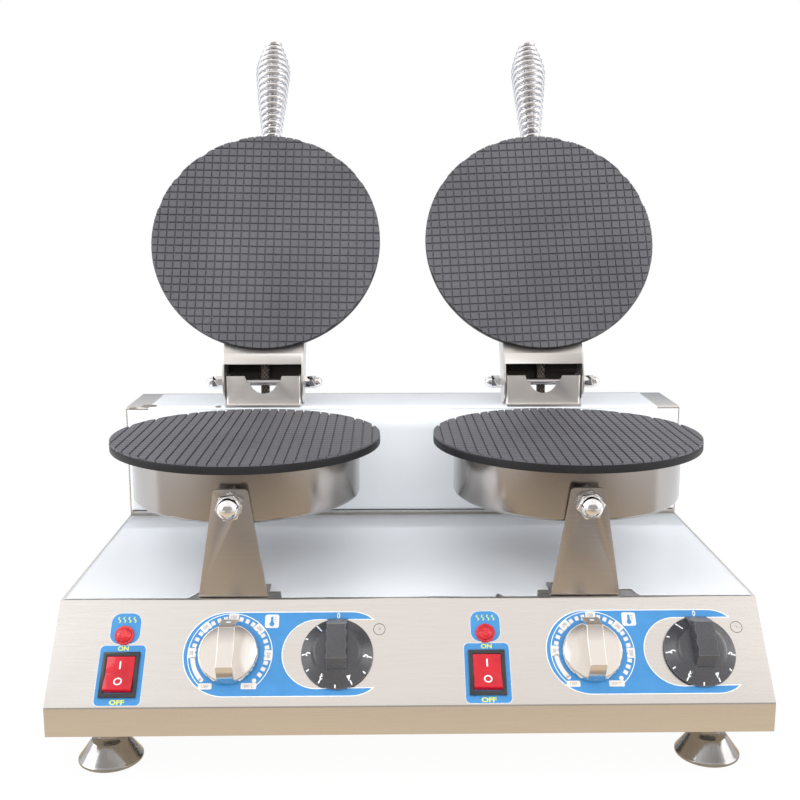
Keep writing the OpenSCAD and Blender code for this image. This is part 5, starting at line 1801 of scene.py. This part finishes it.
class SwitchLabel(Sided):
    """Blue labels round the switch and the lamp: middle, half sizes, outer and inner corner radius."""

    SWITCH = mm((22.55, 15.9, 21.15, 3.2, 3.2))
    LAMP = mm((55.7, 10.6, 11.3, 7.0, 6.8))
    BORDER = 0.22 * MM
    LETTER = 3.1 * MM
    ON_UP = 41.3 * MM
    OFF_UP = 3.9 * MM
    SIGN_SIDE = 0.3 * MM
    SIGN_UP = 62.0 * MM

    def build(self) -> None:
        """Prints both labels."""
        x = PanelSizes.SWITCH_X
        sheet = PrintSheet(f"switch_label_{self.name}", self.panel())
        for y, half_w, half_h, corner, inner in (self.SWITCH, self.LAMP):
            sheet.area(tile((x, y), half_w, half_h, corner), Look.WHITE, Layer.BASE)
            sheet.area(tile((x, y), half_w - self.BORDER, half_h - self.BORDER, inner), Look.BLUE, Layer.LOW)
        sheet.text("ON", (x, self.ON_UP), self.LETTER, Look.YELLOW, wide=1.1, weight=0.035)
        sheet.text("OFF", (x, self.OFF_UP), self.LETTER, Look.YELLOW, wide=1.3, weight=0.04)
        self.heat_sign(sheet, (x + self.SIGN_SIDE, self.SIGN_UP))
        sheet.finish()

    @staticmethod
    def heat_sign(sheet: PrintSheet, at: Point) -> None:
        """Adds four rising waves, the usual sign for heat.

        Args:
            sheet: the printed sheet.
            at: the sign's middle.
        """
        steps = 14
        half_w, apart, swing, high = mm((0.42, 3.6, 0.75, 4.2))
        for k in (-1.5, -0.5, 0.5, 1.5):
            x = at[0] + k * apart
            shares = [i / steps for i in range(steps + 1)]
            points = [(x + swing * math.sin(TURN * t), at[1] + (t - 0.5) * high) for t in shares]
            for (x0, y0), (x1, y1) in zip(points, points[1:]):
                loop = ((x0 - half_w, y0), (x0 + half_w, y0), (x1 + half_w, y1), (x1 - half_w, y1))
                sheet.area(loop, Look.YELLOW, Layer.FIRST)


@dataclass(frozen=True)
class DialMarks(Sided):
    """White marks and numerals on the timer knob's skirt."""

    skirt_out: float = 25.0 * MM
    skirt_in: float = 17.5 * MM
    edge_z: float = 2.4 * MM
    inner_z: float = 7.0 * MM
    ink: float = 0.12 * MM
    first: float = 126.5
    step: float = 56.4
    early: float = 102.8
    early_step: float = 26.4
    long_in: float = 21.6 * MM
    short_in: float = 22.3 * MM
    outer: float = 24.3 * MM
    wide: float = 0.9 * MM
    numeral_r: float = 19.4 * MM
    numeral: float = 4.0 * MM
    numerals: int = 5

    def on_skirt(self, radius: float, degrees: float) -> Vector:
        """Args:
            radius: distance from the knob's axis.
            degrees: direction.

        Returns:
            The place on the skirt, a little above it.
        """
        share = (self.skirt_out - radius) / (self.skirt_out - self.skirt_in)
        height = self.edge_z + (self.inner_z - self.edge_z) * share + self.ink
        return Vector((*polar((0.0, 0.0), radius, degrees), height))

    def build(self) -> None:
        """Makes the marks: a long one at each numeral, a short one between two, and two before the first."""
        bm = bmesh.new()
        for count, first, step, inner in (
            (self.numerals, self.first, -self.step, self.long_in),
            (self.numerals - 1, self.first + self.step / 2, -self.step, self.short_in),
            (2, self.early, self.early_step, self.short_in),
        ):
            bm.from_mesh(TickRing(count, first, step, inner, self.outer, self.wide).mesh(Look.WHITE))
        for vert in bm.verts:
            x, y, _ = vert.co
            vert.co = self.on_skirt(math.hypot(x, y), math.degrees(math.atan2(y, x)))
        for k in range(self.numerals):
            for triangle in words(str(k + 1), self.numeral, 0.02):
                verts = []
                for p in triangle:
                    degrees = self.first + self.step * k - math.degrees(p.x / self.numeral_r)
                    verts.append(bm.verts.new(self.on_skirt(self.numeral_r + p.y, degrees)))
                bm.faces.new(verts)
        bmesh.ops.recalc_face_normals(bm, faces=bm.faces)
        face_up(bm.faces)
        name, body = f"dial_marks_{self.name}", f"timer_knob_body_{self.name}"
        Piece.build(name, bm, (Look.WHITE,), body, "black_plastic", self.panel("timer_turn"))


# Controls and fittings ----------------------------------------------------------------------


@dataclass(frozen=True)
class Bar:
    """A knob's bar grip: its side outline as (up the slope, height), and its width."""

    outline: tuple[Point, ...]
    half_w: float
    draft: float
    wave: float = 0.0
    wave_length: float = 8.6 * MM
    cut: float = 1.2 * MM

    def flank(self, at: float, share: float) -> float:
        """Args:
            at: place along the bar.
            share: height as a share of the bar's.

        Returns:
            The bar's half width there.
        """
        return self.half_w + self.draft * (1 - share) + self.wave * math.cos(TURN * at / self.wave_length)

    def crossings(self, y: float) -> tuple[float, float]:
        """Args:
            y: place along the bar.

        Returns:
            The lowest and the highest point of the side outline there.
        """
        near = 1e-9
        heights = []
        for (y0, z0), (y1, z1) in zip(self.outline, self.outline[1:] + self.outline[:1]):
            if min(y0, y1) - near <= y <= max(y0, y1) + near:
                heights += [z0, z1] if abs(y1 - y0) < near else [z0 + (z1 - z0) * (y - y0) / (y1 - y0)]
        return (min(heights), max(heights))

    def add(self, bm: bmesh.types.BMesh) -> None:
        """Adds the bar as slices along the slope, finer where its flanks have waves.

        Args:
            bm: the mesh to add to.
        """
        ys = [y for y, _ in self.outline]
        top = max(z for _, z in self.outline)
        low, long = min(ys), max(ys) - min(ys)
        count = max(2, round(long / self.cut))
        between = {low + long * k / count for k in range(count + 1)} if self.wave else set()
        rings = []
        for y in sorted(between | set(ys)):
            heights = self.crossings(y)
            ring = [(-self.flank(y, z / top), y, z) for z in heights]
            ring += [(self.flank(y, z / top), y, z) for z in reversed(heights)]
            rings.append([bm.verts.new(p) for p in ring])
        bridge(bm, rings, caps=True)


@dataclass(frozen=True)
class KnobStyle:
    """What a knob is made of: a turned disc or skirt, and a bar grip across it."""

    kind: str
    disc: tuple[Point, ...]
    bar: Bar
    slot: str
    bevel: float
    finishes: tuple[Finish, ...]


class Knob(Sided):
    """A knob in place of the CAD's."""

    STEPS = 120
    SEGMENTS = 3
    EDGE_FROM = 28.0
    THERMOSTAT = KnobStyle(
        kind="thermostat",
        disc=mm(
            ((0.0, 1.0), (19.8, 1.0), (21.0, 2.6), (20.6, 5.6), (20.2, 6.6))
            + ((19.6, 6.9), (18.9, 6.6), (10.0, 5.9), (0.0, 5.6))
        ),
        bar=Bar(
            mm(
                ((-20.4, 1.0), (23.0, 4.0), (23.4, 7.0), (13.0, 21.0), (3.5, 19.2))
                + ((-1.5, 19.1), (-9.0, 19.7), (-15.4, 20.7), (-20.4, 7.0))
            ),
            half_w=5.6 * MM,
            draft=0.5 * MM,
        ),
        slot="silver_metal",
        bevel=0.6 * MM,
        finishes=(Look.SILVER,),
    )
    TIMER = KnobStyle(
        kind="timer",
        disc=mm(
            ((0.0, 1.0), (24.5, 1.0), (25.0, 1.5), (24.9, 2.4), (18.3, 6.6), (17.5, 7.3))
            + ((16.9, 8.2), (16.2, 9.1), (15.4, 9.7), (14.4, 10.0), (0.0, 10.0))
        ),
        bar=Bar(
            mm(
                ((-14.0, 1.5), (24.0, 1.5), (24.0, 5.5), (14.4, 22.0))
                + ((-9.5, 22.0), (-13.5, 10.5), (-14.0, 8.0))
            ),
            half_w=6.6 * MM,
            draft=1.0 * MM,
            wave=0.42 * MM,
        ),
        slot="black_plastic",
        bevel=0.4 * MM,
        finishes=(Look.DIAL, Look.DIAL_HIGHLIGHT),
    )

    def build(self, style: KnobStyle) -> None:
        """Makes the knob. Its second finish, if it has one, goes on the softened edges; on the timer knob
        that lighter plastic is a painted highlight.

        Args:
            style: what it is made of.
        """
        node = f"{style.kind}_knob_{self.name}"
        bm = bmesh.new()
        lathe(bm, style.disc, self.STEPS)
        style.bar.add(bm)
        bmesh.ops.remove_doubles(bm, verts=bm.verts, dist=TINY)
        bmesh.ops.recalc_face_normals(bm, faces=bm.faces)
        body, place = frame["nodes"][node]["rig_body"], self.panel(style.kind + "_turn")
        made = Piece.build(node + "_look", bm, style.finishes, body, style.slot, place, ROUND)
        soft = Piece.soften(made, style.bevel, self.SEGMENTS, self.EDGE_FROM)
        soft.material = len(style.finishes) - 1
        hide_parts(node)


class Controls(Sided):
    """Knobs, switches and lamps of one head."""

    def build(self) -> None:
        """Dresses the controls."""
        Knob(self.side).build(Knob.THERMOSTAT)
        Knob(self.side).build(Knob.TIMER)
        Piece.copy(f"rocker_{self.name}", Look.RED, "red_rocker", bevel=0.4 * MM)
        for node in ("thermostat_spindle", "timer_spindle"):
            Piece.dress(f"{node}_{self.name}", Look.ZINC, "zinc_fastener")
        self.pointer()
        self.rocker_print()
        ScaleLabel(self.side).build()
        SwitchLabel(self.side).build()
        DialMarks(self.side).build()

    def pointer(self) -> None:
        """Adds the white mark at the thermostat knob's upper end."""
        (y1, z1), (y0, z0) = Knob.THERMOSTAT.bar.outline[2:4]
        half_w, half_h, corner, ink = mm((1.5, 1.8, 0.6, 0.06))
        bm = bmesh.new()
        flat_patch(bm, tile((0.0, half_h), half_w, half_h, corner, 3), ink)
        middle = Matrix.Translation((0.0, (y0 + y1) / 2, (z0 + z1) / 2))
        slope = Matrix.Rotation(math.atan2(z1 - z0, y1 - y0), 4, "X")
        place = self.panel("thermostat_turn") @ middle @ slope
        name, body = f"pointer_{self.name}", f"thermostat_knob_body_{self.name}"
        Piece.build(name, bm, (Look.WHITE,), body, "silver_metal", place)

    def rocker_print(self) -> None:
        """Adds the bar and the ring on the rocker's two halves."""
        steps, tilt = 24, -8.0
        half, rise, valley, ink = mm((12.2, 5.4, 3.4, 0.09))
        bar_up, half_w, half_h, corner = mm((5.9, 0.5, 2.7, 0.45))
        ring_up, outer, inner = mm((-6.0, 2.9, 2.0))
        bm = bmesh.new()
        flat_patch(bm, tile((0.0, bar_up), half_w, half_h, corner, 3), 0.0)
        circles = (disc((0.0, ring_up), radius, steps) for radius in (outer, inner))
        bridge(bm, [[bm.verts.new((*p, 0.0)) for p in circle] for circle in circles])
        for vert in bm.verts:
            vert.co.z = valley + (rise - valley) * min(1.0, abs(vert.co.y) / half) + ink
        place = self.panel("rocker_tilt") @ Matrix.Rotation(math.radians(tilt), 4, "X")
        name, body = f"rocker_print_{self.name}", f"rocker_body_{self.name}"
        Piece.build(name, bm, (Look.WHITE,), body, "red_rocker", place)


class Fittings:
    """Fasteners, feet and the parts inside."""

    def build(self) -> None:
        """Dresses them."""
        Piece.copy("drum_studs", Look.ZINC, "zinc_fastener")
        Piece.copy("hex_nuts", Look.ZINC, "zinc_fastener", bevel=0.2 * MM)
        for node in ("case_screws", "foot_studs"):
            Piece.copy(node, Look.ZINC, "zinc_fastener")
        Piece.copy("hinge_nuts", Look.CHROME, "zinc_fastener", bevel=0.25 * MM)
        Piece.copy("hinge_rods", Look.COIL, "zinc_fastener")
        Piece.copy("front_acorn_nuts", Look.CHROME, "bright_metal", bevel=0.25 * MM)
        for corner in ("front_left", "front_right", "back_left", "back_right"):
            Piece.copy(f"foot_{corner}", Look.FOOT, "bright_metal")
        Piece.copy("cable_gland", Look.BLACK, "black_plastic", bevel=0.3 * MM)
        Piece.copy("conduit_grommets", Look.RUBBER, "black_rubber", bevel=0.2 * MM)
        Piece.copy("switch_housings", Look.BLACK, "black_plastic", bevel=0.3 * MM)
        Piece.copy("lamp_holders", Look.LENS, "lamp_body", bevel=0.2 * MM)
        Piece.copy("lamp_lenses", Look.LENS, "lamp_lens")
        Piece.copy("rear_supports", Look.SHEET, "steel_sheet", bevel=0.2 * MM)
        Piece.dress("terminal_block", Look.IVORY, "pale_plastic")
        for node in ("thermostats", "timers"):
            Piece.dress(node, Look.ZINC, "silver_metal")
        for node in ("lower_heaters", "upper_heater_left", "upper_heater_right"):
            Piece.dress(node, Look.HEATER, "heater_tube")
        for node in ("lower_insulation", "upper_insulation_left", "upper_insulation_right"):
            Piece.dress(node, Look.FIBRE, "insulation")


# Studio -------------------------------------------------------------------------------------


@dataclass(frozen=True)
class Lamp:
    """A soft area lamp."""

    name: str
    place: tuple[float, float, float]
    target: tuple[float, float, float]
    size: float
    power: float
    mirrored: bool = False

    def build(self) -> None:
        """Adds the lamp."""
        light = bpy.data.lights.new(self.name, "AREA")
        light.size, light.energy = self.size, self.power
        made = link(self.name, light)
        made.location = self.place
        made.rotation_euler = (Vector(self.target) - Vector(self.place)).to_track_quat("-Z", "Y").to_euler()
        made.visible_glossy = self.mirrored


class Studio:
    """Floor, background, lamps and camera."""

    LAMPS = (
        Lamp("left", (-1.25, -0.35, 0.8), (0.0, 0.0, 0.15), 1.1, 8.0, True),
        Lamp("right", (1.25, -0.3, 0.8), (0.0, 0.0, 0.15), 1.0, 6.5, True),
        Lamp("front", (0.1, -1.7, 0.9), (0.0, 0.0, 0.15), 1.4, 17.0),
        Lamp("top", (0.0, 0.1, 1.9), (0.0, 0.0, 0.2), 1.6, 8.0),
    )
    FLOOR = ((0.86, 0.86, 0.86), (0.9, 0.9, 0.9))
    FLOOR_HALF = 6.0
    TABLE_HALF = 3.0
    TABLE_BACK = -0.1
    TABLE_UP = 0.5 * MM
    TABLE_NEAR = (0.80, 0.65, 0.48)
    TABLE_FAR = (0.36, 0.30, 0.25)
    TABLE_SIDE = (0.95, 0.92, 0.90)
    CEILING = (1.1, 1.04, 1.0)
    CEILING_LEFT = (1.25, 1.23, 1.22)
    FRONT = (0.4, 0.375, 0.355)
    BACK = (0.42, 0.45, 0.5)
    DAYLIGHT = (0.95, 0.97, 1.0)
    WHITE = (1.0, 1.0, 1.0)
    AMBIENT = 0.85
    LEFT_FROM = (-0.15, -0.4)
    FRONT_FROM = (-0.45, -0.75)
    FRONT_UNDER = (0.8, 0.55)
    BACK_FROM = (0.45, 0.8)
    BACK_UNDER = (0.45, 0.2)
    CAMERA_AT = (-0.01907, -0.89415, 0.38318)
    CAMERA_YAW = 0.0166
    CAMERA_DOWN = 0.1774
    CAMERA_LENS = 48.02

    def build(self) -> None:
        """Sets up the studio."""
        self.world()
        self.floor()
        self.table()
        for lamp in self.LAMPS:
            lamp.build()
        self.camera()
        bpy.context.scene.view_settings.view_transform = "Standard"

    def world(self) -> None:
        """White for the camera, and a bright room with darker walls in front and behind for reflections."""
        world = bpy.data.worlds.new("studio")
        bpy.context.scene.world = world
        world.use_nodes = True
        world.node_tree.nodes.clear()
        t = Tree(world.node_tree, "ShaderNode")

        def ramp(value: Value, low: float, high: float) -> Value:
            """Returns: a soft step from 0 at low to 1 at high."""
            inputs = {"Value": value, "From Min": low, "From Max": high}
            return t.value("MapRange", inputs, interpolation_type="SMOOTHSTEP")

        def light(colour: object, strength: float = 1.0) -> bpy.types.Node:
            """Returns: a background of one colour and strength."""
            return t.add("Background", {"Color": colour, "Strength": strength})

        ray = t.add("LightPath").outputs
        x, y, z = t.split(t.add("TexCoord").outputs["Generated"])
        front = ramp(y, *self.FRONT_FROM) * ramp(z, *self.FRONT_UNDER)
        back = ramp(y, *self.BACK_FROM) * ramp(z, *self.BACK_UNDER)
        room = t.blend(ramp(x, *self.LEFT_FROM), self.CEILING, self.CEILING_LEFT)
        room = t.blend(back, t.blend(front, room, self.FRONT), self.BACK)
        around = light(self.DAYLIGHT, self.AMBIENT)
        seen = t.add("MixShader", {0: ray["Is Glossy Ray"], 1: around, 2: light(room)})
        direct = t.math("MAXIMUM", ray["Is Camera Ray"], ray["Is Transmission Ray"])
        shown = t.add("MixShader", {0: direct, 1: seen, 2: light(self.WHITE)})
        t.add("OutputWorld", {"Surface": shown})

    @staticmethod
    def sheet(shader: Shader, low: Point, high: Point, level: float = 0.0) -> bpy.types.Object:
        """Args:
            shader: its look, which also names it.
            low: its left front corner.
            high: its right back corner.
            level: its height.

        Returns:
            A flat rectangle.
        """
        bm = bmesh.new()
        corners = (low, (high[0], low[1]), high, (low[0], high[1]))
        bm.faces.new([bm.verts.new((x, y, level)) for x, y in corners])
        mesh = Piece.mesh(shader.material.name, bm)
        mesh.materials.append(shader.material)
        return link(mesh.name, mesh)

    def floor(self) -> None:
        """A pale floor that keeps a faint shadow and fades into the background."""
        s = Shader("floor")
        patches = s.blend(s.noise(s.place(), 3.0), *self.FLOOR)
        s.set(Roughness=0.9, Specular_IOR_Level=0.1, Base_Color=patches)
        faded = s.remap(s.length(s.place()), 0.95, 1.0, 0.5, 0.9)
        share = s.math("MULTIPLY", s.add("LightPath").outputs["Is Camera Ray"], faded)
        s.give(s.output, s.add("MixShader", {0: share, 1: s.surface, 2: s.add("Emission")}))
        half = self.FLOOR_HALF
        made = self.sheet(s, (-half, -half), (half, half))

    def table(self) -> None:
        """A warm card on the floor in front, which only shows in reflections."""
        s = Shader("table_card")
        x, y, _ = s.split(s.place())
        middle = s.blend(s.remap(y, 0.0, 1.0, -0.3, -0.9), self.TABLE_NEAR, self.TABLE_FAR)
        side = s.remap(s.math("ABSOLUTE", x), 0.0, 1.0, 0.35, 0.9)
        s.give(s.output, s.add("Emission", {"Color": s.blend(side, middle, self.TABLE_SIDE)}))
        half = self.TABLE_HALF
        made = self.sheet(s, (-half, -half), (half, self.TABLE_BACK), self.TABLE_UP)
        made.visible_camera = False
        made.visible_diffuse = False
        made.visible_shadow = False

    def camera(self) -> None:
        """Adds the camera."""
        data = bpy.data.cameras.new("camera")
        data.lens, data.sensor_width = self.CAMERA_LENS, 36.0
        data.clip_start, data.clip_end = 0.01, 50.0
        made = link("camera", data)
        made.location = self.CAMERA_AT
        made.rotation_euler = (math.pi / 2 - self.CAMERA_DOWN, 0.0, -self.CAMERA_YAW)
        bpy.context.scene.camera = made


def main() -> None:
    """Builds the machine's looks and the studio."""
    logging.basicConfig(level=logging.INFO, format="%(name)s: %(message)s")
    Casing().build()
    LOG.info("casing and film done")
    squares = WafflePlate().squares()
    coil = CoilGrip().mesh()
    LOG.info("plates' squares %d faces, coil %d faces", len(squares.polygons), len(coil.polygons))
    for side in Side:
        Head(side, squares, coil).build()
        Controls(side).build()
        LOG.info("head %s done", side.value)
    Fittings().build()
    Studio().build()
    LOG.info("studio done")


if __name__ == "__main__":
    main()
